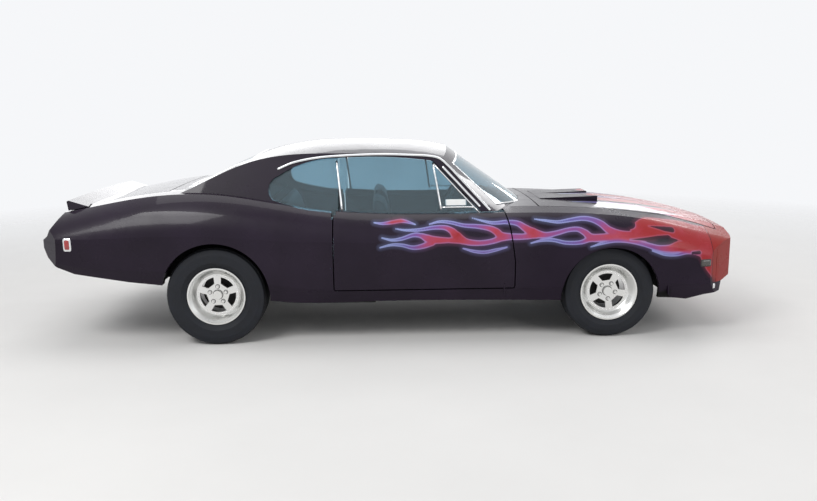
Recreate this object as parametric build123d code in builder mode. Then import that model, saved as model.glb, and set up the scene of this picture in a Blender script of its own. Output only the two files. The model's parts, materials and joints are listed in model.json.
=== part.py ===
from build123d import *
import os
from math import cos, radians, sin

os.makedirs("parts", exist_ok=True)

# Millimetres. X forward, Y to the car's left, Z up, origin on the ground below the middle of the car.

# Overall size and stance
LENGTH = 5098
REAR_OVERHANG = 1245
WHEELBASE = 2845
TAIL_X = -LENGTH / 2
NOSE_X = LENGTH / 2
REAR_X = TAIL_X + REAR_OVERHANG
FRONT_X = REAR_X + WHEELBASE

# Clearances
GAP = 6  # round the hood and the boot lid
DOOR_GAP = 8
SEAM = 0.6  # between panels that are bolted together
SEAT = 0.3  # between a piece and what carries it
RUN = 0.05  # radial, at a bearing

# Panel thicknesses
SIDE_WALL = 80
FENDER_WALL = 40
TOP_SKIN = 30
GLASS = 5
GLASS_INSET = 12
PILLAR = 38

# Wheels and tyres
RIM_LIP_R = 208
BEAD_R = 192
SPINDLE_R = 20
HUB_R = 62
CAP_R = 32
LUG_CIRCLE_R = 60
REAR_TYRE_R = 355
REAR_TYRE_HALF = 137
REAR_RIM_HALF = 118
REAR_WHEEL_Y = 770
REAR_ARCH_R = 388
FRONT_TYRE_R = 335
FRONT_TYRE_HALF = 105
FRONT_RIM_HALF = 92
FRONT_WHEEL_Y = 762
FRONT_ARCH_R = 360
FRONT_ARCH_DROP = 18
KINGPIN_Y = 650
KINGPIN_R = 22
TUB = 8

# Panel breaks
DOOR_REAR_X = -461
DOOR_FRONT_X = 843
DOOR_FRONT_TOP_X = 778
DOOR_BOTTOM_Z = 389
DOOR_TOP_Z = 1000
HOOD_REAR_X = 1060
HOOD_FRONT_X = 2392
HOOD_HALF = 630
LID_FRONT_X = -1660
LID_REAR_X = -2352
LID_HALF = 640
NOSE_REAR_X = 2300
BUMPER_FRONT_X = -2300
BUMPER_TOP_Z = 757
ROOF_REAR_X = -1000

# Lower body sections: station x, then half section from the top centre down as y and z pairs
BODY_STATIONS = (
    # x, crown z, edge y, edge z, crest y, crest z, crease y, crease z, sill y, sill z, under y, under z
    (-2600, 928, 560, 920, 700, 898, 885, 765, 870, 600, 820, 500),
    (-2250, 1008, 620, 1000, 745, 984, 925, 790, 910, 590, 870, 500),
    (-1850, 1078, 650, 1070, 765, 1056, 943, 800, 925, 560, 880, 455),
    (-1300, 1095, 660, 1088, 780, 1074, 949, 798, 935, 520, 890, 390),
    (-800, 1010, 680, 1006, 795, 996, 944, 758, 930, 430, 885, 305),
    (-350, 955, 690, 950, 800, 940, 941, 745, 925, 395, 885, 300),
    (850, 962, 640, 950, 800, 922, 935, 688, 920, 390, 885, 296),
    (1541, 945, 620, 922, 790, 896, 930, 692, 915, 400, 875, 288),
    (2050, 892, 600, 862, 755, 813, 900, 655, 885, 400, 840, 280),
    (2600, 745, 560, 716, 690, 672, 790, 590, 790, 430, 740, 300),
)

# Roof crown sections: station x, height at the centre and height at the eave
CROWN_EAVE_Y = 640
CROWN_HALF = 820
CROWN_STATIONS = (
    # x, centre z, eave z
    (-1900, 1008, 990),
    (-1740, 1052, 1034),
    (-1579, 1104, 1084),
    (-1396, 1188, 1162),
    (-1244, 1260, 1232),
    (-1090, 1324, 1290),
    (-814, 1400, 1342),
    (-480, 1430, 1350),
    (-150, 1430, 1347),
    (187, 1412, 1334),
    (480, 1358, 1282),
    (800, 1256, 1180),
    (1150, 1120, 1045),
)

# Greenhouse walls in plan, at the belt and above the roof
BELT_Z = 880
WALL_TOP_Z = 1460
BELT_WALL_Y = 807
TOP_WALL_Y = 594
BELT_GLASS_X = 1105
BELT_PILLAR_X = 741
TOP_GLASS_X = 281
TOP_PILLAR_X = 200
WALL_REAR_X = -1760


OUTER_Y = 1000

# Wheelhouses and axle heights
REAR_AXLE_Z = REAR_TYRE_R + 6
FRONT_ARCH_Z = FRONT_TYRE_R - FRONT_ARCH_DROP
REAR_TUB_R = 412
REAR_TUB_Y = 608
REAR_TUB_LOW_Z = 421
FRONT_TUB_R = 425
FRONT_TUB_Y = 455
FRONT_TUB_LOW_Z = 500

# Door hinge axis
HINGE_X = DOOR_FRONT_X - 80
HINGE_Y = 920
HINGE_PIN_R = 6
HINGE_PIN_DEPTH = 30

# Foot of each windscreen pillar and the ledge of the door below it
PILLAR_FOOT_Z = 931
DOOR_LEDGE_Z = 924
DOOR_LEDGE_REAR_X = 585
DOOR_LEDGE_Y = 800

# Hinge pins at the sides of the hood and the boot lid
LID_PIN_R = 5
LID_PIN_REACH = 30
HOOD_HINGE_X = HOOD_REAR_X + 45
HOOD_HINGE_Z = 932
HOOD_SWING_R = 58
LID_HINGE_X = LID_FRONT_X - 40
LID_HINGE_Z = 1073
LID_SWING_R = 53

# Inner structure
ROCKER_REAR_X = REAR_X + REAR_ARCH_R + 40
ROCKER_FRONT_X = FRONT_X - FRONT_TUB_R - 10
DOOR_INNER_Y = 700
DOOR_GLASS_REAR_X = -412
VALANCE_REAR_X = 1990
VALANCE_TOP_Z = 389
NOSE_WALL_X = 2440
PLATE = 8
FIREWALL_X = 1000
FIREWALL_HALF = 780
TOE_X = 870
TOE_Z = 450
FLOOR_HALF = 860
FLOOR_Z = 318
KICK_X = -860
KICK_Z = 560
FLOOR_REAR_X = -2330
TUNNEL_HALF = 170
TUNNEL_Z = 470
RAIL_WIDTH = 80
RAIL_HEIGHT = 76
FRONT_RAIL_Z = 385
MID_RAIL_Z = FLOOR_Z - RAIL_HEIGHT / 2 - SEAT
REAR_RAIL_Z = KICK_Z - RAIL_HEIGHT / 2 - SEAT
RAIL_POINTS = (
    (-2060, 520, REAR_RAIL_Z), (-1140, 520, REAR_RAIL_Z), (-900, 550, MID_RAIL_Z),
    (900, 550, MID_RAIL_Z), (1080, 380, FRONT_RAIL_Z), (2280, 380, FRONT_RAIL_Z),
)
CROSSMEMBERS = (
    (-2030, 500, REAR_RAIL_Z), (-860, 540, MID_RAIL_Z), (820, 540, MID_RAIL_Z), (2240, 360, FRONT_RAIL_Z),
)
ENGINE_REAR_X = 1120
ENGINE_FRONT_X = 1760
GEARBOX_REAR_X = 420
SHAFT_Z = 369
DIFF_R = 130
TANK_X = -1790
TANK_HEIGHT = 84
GEARBOX_R = 64
EXHAUST_Y = 290 + SEAT
EXHAUST_Z = 206
LOWER_ARM_Z = 205
UPPER_ARM_Z = 458

# Nose, tail, hood and spoiler details
SCOOP_REAR_X = 1130
SCOOP_FRONT_X = 1586
SCOOP_INNER_Y = 70
SCOOP_OUTER_Y = 280
SPOILER_HALF = 735
SPOILER_CROWN = 14
GRILLE_X = 2450
GRILLE_Y = 350
GRILLE_Z = 560
GRILLE_WIDTH = 480
GRILLE_HEIGHT = 150
GRILLE_PITCH = 24
GRILLE_BARS = 5
BUMPER_WALL = 110
PLATE_RECESS = 60
PLATE_HALF = 165
PLATE_LOW_Z = 590
PLATE_HIGH_Z = 740
PLATE_SPACING = 178
PLATE_HOLE_Z = 722
PLATE_HOLE_R = 3.5
LAMP_Y = 560
LAMP_Z = 690
LAMP_WIDTH = 400
LAMP_HEIGHT = 70

# Wheel details
SPOKE_R = 152
SPOKE_DEPTH = 14
WINDOW_INNER_R = 78
WINDOW_OUTER_R = 130
WINDOW_HEIGHT = 62
HUB_IN = -40
CAP_HEIGHT = 24
LUG_R = 11
LUG_HEIGHT = 16

# Cabin details
DASH_HALF = 660
SEAT_Y = 400
SEAT_HALF = 245
REAR_SEAT_HALF = 595
STEERING_X = 430
STEERING_Z = 850
STEERING_R = 185
STEERING_COLUMN = 250


def body_block(side, top):
    """Lower body as one block, its sides and top moved inward."""
    with BuildPart() as block:
        for (x, crown_z, edge_y, edge_z, crest_y, crest_z, crease_y, crease_z,
             sill_y, sill_z, under_y, under_z) in BODY_STATIONS:
            bottom_z = under_z - top
            half = [
                (edge_y - side / 2, edge_z - top),
                (crest_y - side, crest_z - top),
                (crease_y - side, crease_z),
                (sill_y - side, sill_z),
                (under_y - side, bottom_z),
            ]
            edge, crest, crease, sill, under = half
            shoulder = bulge(crest, crease, 0.10)
            flank = bulge(crease, sill, 0.02)
            with BuildSketch(Plane.YZ.offset(x)):
                with BuildLine():
                    ThreePointArc((-edge[0], edge[1]), (0, crown_z - top), edge)
                    Line(edge, crest)
                    ThreePointArc(crest, shoulder, crease)
                    ThreePointArc(crease, flank, sill)
                    Line(sill, under)
                    Line(under, flip(under))
                    Line(flip(under), flip(sill))
                    ThreePointArc(flip(sill), flip(flank), flip(crease))
                    ThreePointArc(flip(crease), flip(shoulder), flip(crest))
                    Line(flip(crest), flip(edge))
                make_face()
        loft()
    return block.part


def flip(point):
    """A section point on the other side of the car."""
    return (-point[0], point[1])


def bulge(start, end, share):
    """Middle of an arc that stands outward from its chord by a share of its length."""
    dy = end[0] - start[0]
    dz = end[1] - start[1]
    return (start[0] + dy / 2 - dz * share, start[1] + dz / 2 + dy * share)


def crown_block(drop):
    """Everything below the roof's crown surface, moved down by drop."""
    with BuildPart() as block:
        for x, centre_z, eave_z in CROWN_STATIONS:
            side_z = centre_z - (centre_z - eave_z) * (CROWN_HALF / CROWN_EAVE_Y) ** 2
            with BuildSketch(Plane.YZ.offset(x)):
                with BuildLine():
                    ThreePointArc((-CROWN_HALF, side_z - drop), (0, centre_z - drop),
                                  (CROWN_HALF, side_z - drop))
                    Line((CROWN_HALF, side_z - drop), (CROWN_HALF, BELT_Z - 60))
                    Line((CROWN_HALF, BELT_Z - 60), (-CROWN_HALF, BELT_Z - 60))
                    Line((-CROWN_HALF, BELT_Z - 60), (-CROWN_HALF, side_z - drop))
                make_face()
        loft()
    return block.part


def wall_block(inset):
    """Greenhouse walls, windscreen and sides, as one block moved inward."""
    with BuildPart() as block:
        for z, wall_y, glass_x, pillar_x in (
            (BELT_Z, BELT_WALL_Y, BELT_GLASS_X, BELT_PILLAR_X),
            (WALL_TOP_Z, TOP_WALL_Y, TOP_GLASS_X, TOP_PILLAR_X),
        ):
            y = wall_y - inset
            with BuildSketch(Plane.XY.offset(z)):
                with BuildLine():
                    ThreePointArc((pillar_x - inset, -y), (glass_x - inset * 1.2, 0), (pillar_x - inset, y))
                    Line((pillar_x - inset, y), (WALL_REAR_X, y))
                    Line((WALL_REAR_X, y), (WALL_REAR_X, -y))
                    Line((WALL_REAR_X, -y), (pillar_x - inset, -y))
                make_face()
        loft(ruled=True)
    return block.part


def region(x0, x1, y0, y1, z0, z1):
    """A box between two corners."""
    with BuildPart() as block:
        with Locations(((x0 + x1) / 2, (y0 + y1) / 2, (z0 + z1) / 2)):
            Box(abs(x1 - x0), abs(y1 - y0), abs(z1 - z0))
    return block.part


def side_prism(points, inset, radius):
    """A side-view outline with rounded corners, cut straight across the car."""
    with BuildPart() as block:
        with BuildSketch(Plane.XZ.offset(-1100)):
            with BuildLine():
                FilletPolyline(*points, radius=radius, close=True)
            make_face()
            offset(amount=-inset, kind=Kind.INTERSECTION)
        extrude(amount=2200)
    return block.part


def end_profile():
    """Side view of nose and tail, which trims the ends of the body."""
    with BuildPart() as block:
        with BuildSketch(Plane.XZ.offset(-1100)):
            with BuildLine():
                Polyline(
                    (-2366, 985), (-2398, 935), (-2481, 803), (TAIL_X, 757), (-2492, 650),
                    (-2407, 584), (-2294, 534), (-1908, 469), (-1646, 440), (-900, 240),
                    (1900, 240), (2110, 268), (2245, 300), (2386, 318), (2402, 389), (2500, 425),
                )
                ThreePointArc((2500, 425), (NOSE_X, 560), (2498, 705))
                Line((2498, 705), (2380, 1100))
                Line((2380, 1100), (-2366, 1100))
                Line((-2366, 1100), (-2366, 985))
            make_face()
        extrude(amount=2200)
    return block.part


def end_plan():
    """Plan view of nose and tail, which trims the ends of the body."""
    corner_y = 1000
    with BuildPart() as block:
        with BuildSketch(Plane.XY):
            with BuildLine():
                ThreePointArc((NOSE_X - 62, -690), (NOSE_X, 0), (NOSE_X - 62, 690))
                Polyline((NOSE_X - 62, 690), (NOSE_X - 180, 790), (2100, corner_y), (-2300, corner_y),
                         (TAIL_X + 90, 860), (TAIL_X + 22, 800))
                ThreePointArc((TAIL_X + 22, 800), (TAIL_X, 0), (TAIL_X + 22, -800))
                Polyline((TAIL_X + 22, -800), (TAIL_X + 90, -860), (-2300, -corner_y),
                         (2100, -corner_y), (NOSE_X - 180, -790), (NOSE_X - 62, -690))
            make_face()
        extrude(amount=1500)
    return block.part


def door_outline(inset):
    """Side view of a door, from its lower edge to above the belt."""
    points = [
        (DOOR_REAR_X, DOOR_BOTTOM_Z), (DOOR_FRONT_X, DOOR_BOTTOM_Z), (DOOR_FRONT_X, 584),
        (DOOR_FRONT_TOP_X + 33, 826), (DOOR_FRONT_TOP_X - 14, DOOR_TOP_Z), (DOOR_REAR_X, DOOR_TOP_Z),
    ]
    inner_y = DOOR_INNER_Y + (DOOR_GAP if inset else 0)
    return side_prism(points, inset, 20) & region(-600, 1000, -OUTER_Y, -inner_y, 0, 1500)


def window_outline(inset):
    """Side view of the whole side window, door glass and quarter glass together."""
    with BuildPart() as block:
        with BuildSketch(Plane.XZ):
            with BuildLine():
                Line((640, 900), (268, 1292))
                ThreePointArc((268, 1292), (-86, 1323), (-439, 1318))
                ThreePointArc((-439, 1318), (-680, 1281), (-860, 1195))
                ThreePointArc((-860, 1195), (-924, 1098), (-890, 1026))
                ThreePointArc((-890, 1026), (-743, 983), (-529, 948))
                Polyline((-529, 948), (-470, 940), (-470, 900), (640, 900))
            make_face()
            if inset:
                offset(amount=-inset)
        extrude(amount=1100, both=True)
    return block.part


def windscreen_opening(inset):
    """Front view of the windscreen, cut rearwards through the front wall."""
    half_low = 694 - inset
    half_high = 592 - inset
    with BuildPart() as block:
        with BuildSketch(Plane.YZ.offset(250)):
            with BuildLine():
                ThreePointArc((-half_low, 968 + inset), (0, 940 + inset), (half_low, 968 + inset))
                Line((half_low, 968 + inset), (half_high, 1272 - inset))
                ThreePointArc((half_high, 1272 - inset), (0, 1322 - inset), (-half_high, 1272 - inset))
                Line((-half_high, 1272 - inset), (-half_low, 968 + inset))
            make_face()
        extrude(amount=900)
    return block.part


def rear_window_opening(inset):
    """Plan view of the rear window, cut down through the roof's rear slope."""
    front_x = ROOF_REAR_X - 24 - inset
    rear_x = -1585 + inset
    with BuildPart() as block:
        with BuildSketch(Plane.XY.offset(1000)):
            with BuildLine():
                ThreePointArc((front_x - 34, -520 + inset), (front_x, 0), (front_x - 34, 520 - inset))
                Line((front_x - 34, 520 - inset), (rear_x + 60, 600 - inset))
                ThreePointArc((rear_x + 60, 600 - inset), (rear_x, 0), (rear_x + 60, -600 + inset))
                Line((rear_x + 60, -600 + inset), (front_x - 34, -520 + inset))
            make_face()
        extrude(amount=500)
    return block.part


def axle_disc(x, z, radius, y0, y1):
    """A cylinder across the car between two distances from its middle."""
    with BuildPart() as block:
        with BuildSketch(Plane.XZ.offset(-y1)):
            with Locations((x, z)):
                Circle(radius)
        extrude(amount=y1 - y0)
    return block.part


def save(part, name):
    """Label a finished piece and write its file."""
    part.label = name
    export_step(part, f"parts/{name}.step")


def save_pair(part, name):
    """Write a right-hand piece and its mirror image."""
    save(part.mirror(Plane.XZ), f"{name}_left")
    save(part, f"{name}_right")


def wheelhouse(x, z, radius, inner_y, low_z):
    """Upper half of a wheelhouse, from the side panel to its inner edge, closed there above low_z."""
    depth = OUTER_Y - 110 - inner_y
    with BuildPart() as house:
        with BuildSketch(Plane.XZ.offset(inner_y)):
            with Locations((x, z)):
                Circle(radius + TUB)
                Circle(radius, mode=Mode.SUBTRACT)
                with Locations((0, -radius)):
                    Rectangle(3 * radius, 2 * radius, mode=Mode.SUBTRACT)
        extrude(amount=depth)
        with BuildSketch(Plane.XZ.offset(inner_y)):
            with Locations((x, z)):
                Circle(radius + TUB)
            with Locations((x, low_z - radius)):
                Rectangle(3 * radius, 2 * radius, mode=Mode.SUBTRACT)
        extrude(amount=TUB)
    return house.part & end_profile()


body_outer = body_block(0, 0) & end_profile() & end_plan()
body_inner = body_block(SIDE_WALL, TOP_SKIN)
fender_inner = body_block(FENDER_WALL, TOP_SKIN)
green_outer = wall_block(0) & crown_block(0)
green_inner = wall_block(PILLAR) & crown_block(TOP_SKIN)
body_shell = body_outer - body_inner - green_inner
fender_shell = body_outer - fender_inner - green_inner
green_shell = green_outer - green_inner - body_outer
glass_slot = wall_block(GLASS_INSET - SEAT) - wall_block(GLASS_INSET + GLASS + SEAT)
glass_wall = wall_block(GLASS_INSET) - wall_block(GLASS_INSET + GLASS)
rocker_region = region(ROCKER_REAR_X, ROCKER_FRONT_X, -OUTER_Y, OUTER_Y, 0, DOOR_BOTTOM_Z - SEAM)

# Roof with windscreen pillars
with BuildPart() as roof:
    add(green_shell)
    add(region(ROOF_REAR_X, 1100, 0, OUTER_Y, 800, 1500), mode=Mode.INTERSECT)
    add(windscreen_opening(0), mode=Mode.SUBTRACT)
    add(window_outline(0), mode=Mode.SUBTRACT)
    add(region(DOOR_REAR_X, DOOR_FRONT_X, DOOR_INNER_Y - 4, OUTER_Y, 800, PILLAR_FOOT_Z), mode=Mode.SUBTRACT)
    mirror(about=Plane.XZ)
save(roof.part, "roof")

# Quarter panels with roof sails and rear wheelhouses
with BuildPart() as quarter:
    add(body_shell)
    add(region(TAIL_X, 150, -OUTER_Y, 0, 0, 1500), mode=Mode.INTERSECT)
    add(region(ROOF_REAR_X, 200, -LID_HALF, 0, 500, 1500), mode=Mode.SUBTRACT)
    add(region(TAIL_X, LID_FRONT_X + GAP, -LID_HALF - GAP, 10, 0, 1500), mode=Mode.SUBTRACT)
    add(region(TAIL_X, BUMPER_FRONT_X, -OUTER_Y, 10, 0, BUMPER_TOP_Z), mode=Mode.SUBTRACT)
    add(region(ROCKER_REAR_X, 200, -OUTER_Y, 0, 0, DOOR_BOTTOM_Z), mode=Mode.SUBTRACT)
    add(green_shell & region(WALL_REAR_X, ROOF_REAR_X, -OUTER_Y, 0, 800, 1500))
    add(rear_window_opening(0), mode=Mode.SUBTRACT)
    add(door_outline(0), mode=Mode.SUBTRACT)
    add(window_outline(0), mode=Mode.SUBTRACT)
    add(glass_slot & region(-1000, 0, -OUTER_Y, 0, BELT_Z, 1000), mode=Mode.SUBTRACT)
    add(wheelhouse(REAR_X, REAR_AXLE_Z, REAR_TUB_R, REAR_TUB_Y, REAR_TUB_LOW_Z))
    add(axle_disc(REAR_X, REAR_AXLE_Z, REAR_ARCH_R, -OUTER_Y, -REAR_TUB_Y - TUB), mode=Mode.SUBTRACT)
    add(axle_disc(LID_HINGE_X, LID_HINGE_Z, LID_SWING_R, -LID_HALF - GAP, 10), mode=Mode.SUBTRACT)
    add(axle_disc(LID_HINGE_X, LID_HINGE_Z, LID_PIN_R, -LID_HALF - GAP - 4, -LID_HALF + LID_PIN_REACH))
save_pair(quarter.part, "quarter")

# Front fenders with their wheelhouses
with BuildPart() as fender:
    add(fender_shell)
    add(region(150, NOSE_REAR_X - SEAM, -OUTER_Y, -HOOD_HALF - GAP, 0, 1500), mode=Mode.INTERSECT)
    add(region(VALANCE_REAR_X - SEAM, NOSE_X, -OUTER_Y, 0, 0, VALANCE_TOP_Z), mode=Mode.SUBTRACT)
    add(region(150, ROCKER_FRONT_X, -OUTER_Y, 0, 0, DOOR_BOTTOM_Z), mode=Mode.SUBTRACT)
    add(door_outline(0), mode=Mode.SUBTRACT)
    add(green_outer, mode=Mode.SUBTRACT)
    add(wheelhouse(FRONT_X, FRONT_ARCH_Z, FRONT_TUB_R, FRONT_TUB_Y, FRONT_TUB_LOW_Z))
    add(axle_disc(FRONT_X, FRONT_ARCH_Z, FRONT_ARCH_R, -OUTER_Y, -FRONT_TUB_Y - TUB), mode=Mode.SUBTRACT)
    add(axle_disc(HOOD_HINGE_X, HOOD_HINGE_Z, LID_PIN_R, -HOOD_HALF - GAP - 4, -HOOD_HALF + LID_PIN_REACH))
save_pair(fender.part, "fender")

# Rocker panels below the doors, each with the pin its door turns on
with BuildPart() as rockers:
    add(body_shell & rocker_region)
    with BuildSketch(Plane.XY.offset(DOOR_BOTTOM_Z - 30)):
        with Locations((HINGE_X, -HINGE_Y), (HINGE_X, HINGE_Y)):
            Circle(HINGE_PIN_R)
    extrude(amount=30 + DOOR_GAP + HINGE_PIN_DEPTH)
save(rockers.part, "rockers")

# Doors, cut back inside their rear edge so that they swing clear of the quarter panels
with BuildPart() as door:
    add(body_shell & region(-600, 1000, -OUTER_Y, 0, 0, 1500))
    add(door_outline(DOOR_GAP), mode=Mode.INTERSECT)
    add(region(ROCKER_REAR_X, 1000, -OUTER_Y, 0, 0, DOOR_BOTTOM_Z + DOOR_GAP), mode=Mode.SUBTRACT)
    add(glass_slot & region(-600, 1000, -OUTER_Y, 0, BELT_Z + 20, 1000), mode=Mode.SUBTRACT)
    add(region(DOOR_LEDGE_REAR_X, 1000, -DOOR_LEDGE_Y, 0, DOOR_LEDGE_Z, 1100), mode=Mode.SUBTRACT)
    with BuildSketch(Plane.YZ.offset(DOOR_REAR_X)):
        Polygon((-775, 1050), (-915, 746), (-900, 300), (-500, 300), (-500, 1050), align=None)
    extrude(amount=DOOR_GAP + 16, mode=Mode.SUBTRACT)
    with BuildSketch(Plane.XY.offset(DOOR_BOTTOM_Z)):
        with Locations((HINGE_X, -HINGE_Y)):
            Circle(HINGE_PIN_R + RUN)
    extrude(amount=DOOR_GAP + HINGE_PIN_DEPTH + 4, mode=Mode.SUBTRACT)
save_pair(door.part, "door")

# Side glass: the door's pane drops into a slot in the door, the quarter pane into the quarter panel
with BuildPart() as door_glass:
    add(glass_wall & region(DOOR_GLASS_REAR_X, 1000, -OUTER_Y, 0, BELT_Z + 24, 1500))
    add(window_outline(GAP), mode=Mode.INTERSECT)
save_pair(door_glass.part, "door_glass")
with BuildPart() as quarter_glass:
    add(glass_wall & region(-1000, DOOR_GLASS_REAR_X - 10, -OUTER_Y, 0, BELT_Z + 24, 1500))
    add(window_outline(SEAT), mode=Mode.INTERSECT)
    mirror(about=Plane.XZ)
save(quarter_glass.part, "quarter_glass")

# Windscreen and rear window
with BuildPart() as windscreen:
    add(wall_block(4) - wall_block(4 + GLASS))
    add(windscreen_opening(SEAT), mode=Mode.INTERSECT)
save(windscreen.part, "windscreen")
with BuildPart() as rear_window:
    add(crown_block(4) - crown_block(4 + GLASS))
    add(rear_window_opening(SEAT), mode=Mode.INTERSECT)
save(rear_window.part, "rear_window")

# Cowl and firewall
with BuildPart() as firewall:
    add(fender_shell)
    add(region(500, HOOD_REAR_X - GAP, -HOOD_HALF - GAP, HOOD_HALF + GAP, 850, 1100), mode=Mode.INTERSECT)
    add(green_outer, mode=Mode.SUBTRACT)
    add(axle_disc(HOOD_HINGE_X, HOOD_HINGE_Z, HOOD_SWING_R, -OUTER_Y, OUTER_Y), mode=Mode.SUBTRACT)
    add(region(FIREWALL_X, FIREWALL_X + PLATE, -FIREWALL_HALF, FIREWALL_HALF, TOE_Z, 925) & fender_inner)
    add(region(0, 1100, -TUNNEL_HALF - SEAT, TUNNEL_HALF + SEAT, 0, TUNNEL_Z + SEAT), mode=Mode.SUBTRACT)
save(firewall.part, "firewall")

# Hood with two scoops
with BuildPart() as hood:
    add(fender_shell)
    add(region(HOOD_REAR_X, HOOD_FRONT_X, -HOOD_HALF, HOOD_HALF, 650, 1100), mode=Mode.INTERSECT)
    with BuildSketch(Plane.XZ):
        Polygon((SCOOP_REAR_X, 930), (SCOOP_REAR_X, 962), (SCOOP_FRONT_X, 975), (SCOOP_FRONT_X, 925),
                align=None)
    extrude(amount=SCOOP_OUTER_Y, both=True)
    add(region(SCOOP_REAR_X, SCOOP_FRONT_X, -SCOOP_INNER_Y, SCOOP_INNER_Y, 964, 1100), mode=Mode.SUBTRACT)
    for low_y in (-HOOD_HALF, HOOD_HALF - LID_PIN_REACH - 2):
        add(axle_disc(HOOD_HINGE_X, HOOD_HINGE_Z, LID_PIN_R + RUN, low_y, low_y + LID_PIN_REACH + 2),
            mode=Mode.SUBTRACT)
save(hood.part, "hood")

# Boot lid and the low spoiler along its rear edge
with BuildPart() as trunk_lid:
    add(body_shell)
    add(region(LID_REAR_X, LID_FRONT_X, -LID_HALF, LID_HALF, 900, 1200), mode=Mode.INTERSECT)
    for low_y in (-LID_HALF, LID_HALF - LID_PIN_REACH - 2):
        add(axle_disc(LID_HINGE_X, LID_HINGE_Z, LID_PIN_R + RUN, low_y, low_y + LID_PIN_REACH + 2),
            mode=Mode.SUBTRACT)
save(trunk_lid.part, "trunk_lid")
with BuildPart() as spoiler:
    for y, rise in ((-SPOILER_HALF, 0), (0, SPOILER_CROWN), (SPOILER_HALF, 0)):
        with BuildSketch(Plane.XZ.offset(-y)):
            Polygon((-2366, 1036 + rise), (-2352, 1043 + rise), (-2255, 1012 + rise), (-2180, 990 + rise),
                    (-2185, 940), (-2352, 940), align=None)
    loft()
    add(body_outer, mode=Mode.SUBTRACT)
    add(body_outer.moved(Location((0, 0, GAP))) - region(-2600, 0, -LID_HALF, LID_HALF, 0, 2000),
        mode=Mode.SUBTRACT)
save(spoiler.part, "spoiler")

# Nose with its two grille openings
with BuildPart() as nose_bumper:
    add(body_outer)
    add(region(NOSE_REAR_X, NOSE_X, -OUTER_Y, OUTER_Y, VALANCE_TOP_Z, 1000), mode=Mode.INTERSECT)
    add(fender_inner & region(2200, NOSE_WALL_X, -OUTER_Y, OUTER_Y, 0, 1000), mode=Mode.SUBTRACT)
    add(region(2200, HOOD_FRONT_X + GAP, -HOOD_HALF - GAP, HOOD_HALF + GAP, 600, 1000), mode=Mode.SUBTRACT)
    with BuildSketch(Plane.YZ.offset(2300)):
        with Locations((-GRILLE_Y, GRILLE_Z), (GRILLE_Y, GRILLE_Z)):
            RectangleRounded(GRILLE_WIDTH, GRILLE_HEIGHT, 40)
    extrude(amount=400, mode=Mode.SUBTRACT)
save(nose_bumper.part, "nose_bumper")

# Grilles: a frame with bars in each opening
with BuildPart() as grille:
    with BuildSketch(Plane.YZ.offset(GRILLE_X)):
        with Locations((-GRILLE_Y, GRILLE_Z), (GRILLE_Y, GRILLE_Z)):
            RectangleRounded(GRILLE_WIDTH - 2 * SEAT, GRILLE_HEIGHT - 2 * SEAT, 40 - SEAT)
            RectangleRounded(GRILLE_WIDTH - 24, GRILLE_HEIGHT - 24, 30, mode=Mode.SUBTRACT)
            with GridLocations(0, GRILLE_PITCH, 1, GRILLE_BARS):
                Rectangle(GRILLE_WIDTH - 12, 6)
            with GridLocations(GRILLE_WIDTH / 2, 0, 1, 1):
                Rectangle(8, GRILLE_HEIGHT - 12)
    extrude(amount=18)
save(grille.part, "grille")

# Valance below the nose
with BuildPart() as front_valance:
    add(body_outer)
    add(region(VALANCE_REAR_X, NOSE_X, -OUTER_Y, OUTER_Y, 0, VALANCE_TOP_Z - SEAM), mode=Mode.INTERSECT)
    add(fender_inner & region(1900, 2330, -OUTER_Y, OUTER_Y, 0, 1000), mode=Mode.SUBTRACT)
save(front_valance.part, "front_valance")

# Tail: panel below the lid, bumper and lamps
with BuildPart() as tail_panel:
    with BuildSketch(Plane.XZ.offset(-OUTER_Y)):
        Polygon((-2366, 985), (-2398, 935), (-2481, 803), (TAIL_X, 757 + SEAM), (TAIL_X + 80, 757 + SEAM),
                (-2366, 920), (-2340, 960), (-2340, 985), align=None)
    extrude(amount=2 * OUTER_Y)
    add(body_inner, mode=Mode.INTERSECT)
    add(body_outer, mode=Mode.INTERSECT)
    add(region(-2400, -2300, -OUTER_Y, OUTER_Y, 950, 1100), mode=Mode.SUBTRACT)
save(tail_panel.part, "tail_panel")
with BuildPart() as rear_bumper:
    add(body_outer)
    add(region(TAIL_X, BUMPER_FRONT_X - SEAM, -OUTER_Y, OUTER_Y, 0, BUMPER_TOP_Z - SEAM), mode=Mode.INTERSECT)
    add(region(TAIL_X + BUMPER_WALL, 0, -780, 780, 0, 1000), mode=Mode.SUBTRACT)
    with BuildSketch(Plane.YZ.offset(TAIL_X - 10)):
        with Locations((-LAMP_Y, LAMP_Z), (LAMP_Y, LAMP_Z)):
            RectangleRounded(LAMP_WIDTH, LAMP_HEIGHT, 12)
    extrude(amount=90, mode=Mode.SUBTRACT)
    add(region(TAIL_X - 10, TAIL_X + PLATE_RECESS, -PLATE_HALF, PLATE_HALF, PLATE_LOW_Z, PLATE_HIGH_Z),
        mode=Mode.SUBTRACT)
    with BuildSketch(Plane.YZ.offset(TAIL_X)):
        with Locations((-PLATE_SPACING / 2, PLATE_HOLE_Z), (PLATE_SPACING / 2, PLATE_HOLE_Z)):
            Circle(PLATE_HOLE_R)
    extrude(amount=PLATE_RECESS + 24, mode=Mode.SUBTRACT)
save(rear_bumper.part, "rear_bumper")
with BuildPart() as tail_lamps:
    with BuildSketch(Plane.YZ.offset(TAIL_X + 30)):
        with Locations((-LAMP_Y, LAMP_Z), (LAMP_Y, LAMP_Z)):
            RectangleRounded(LAMP_WIDTH - 2 * SEAT, LAMP_HEIGHT - 2 * SEAT, 12 - SEAT)
    extrude(amount=50 - SEAT)
save(tail_lamps.part, "tail_lamps")

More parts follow.
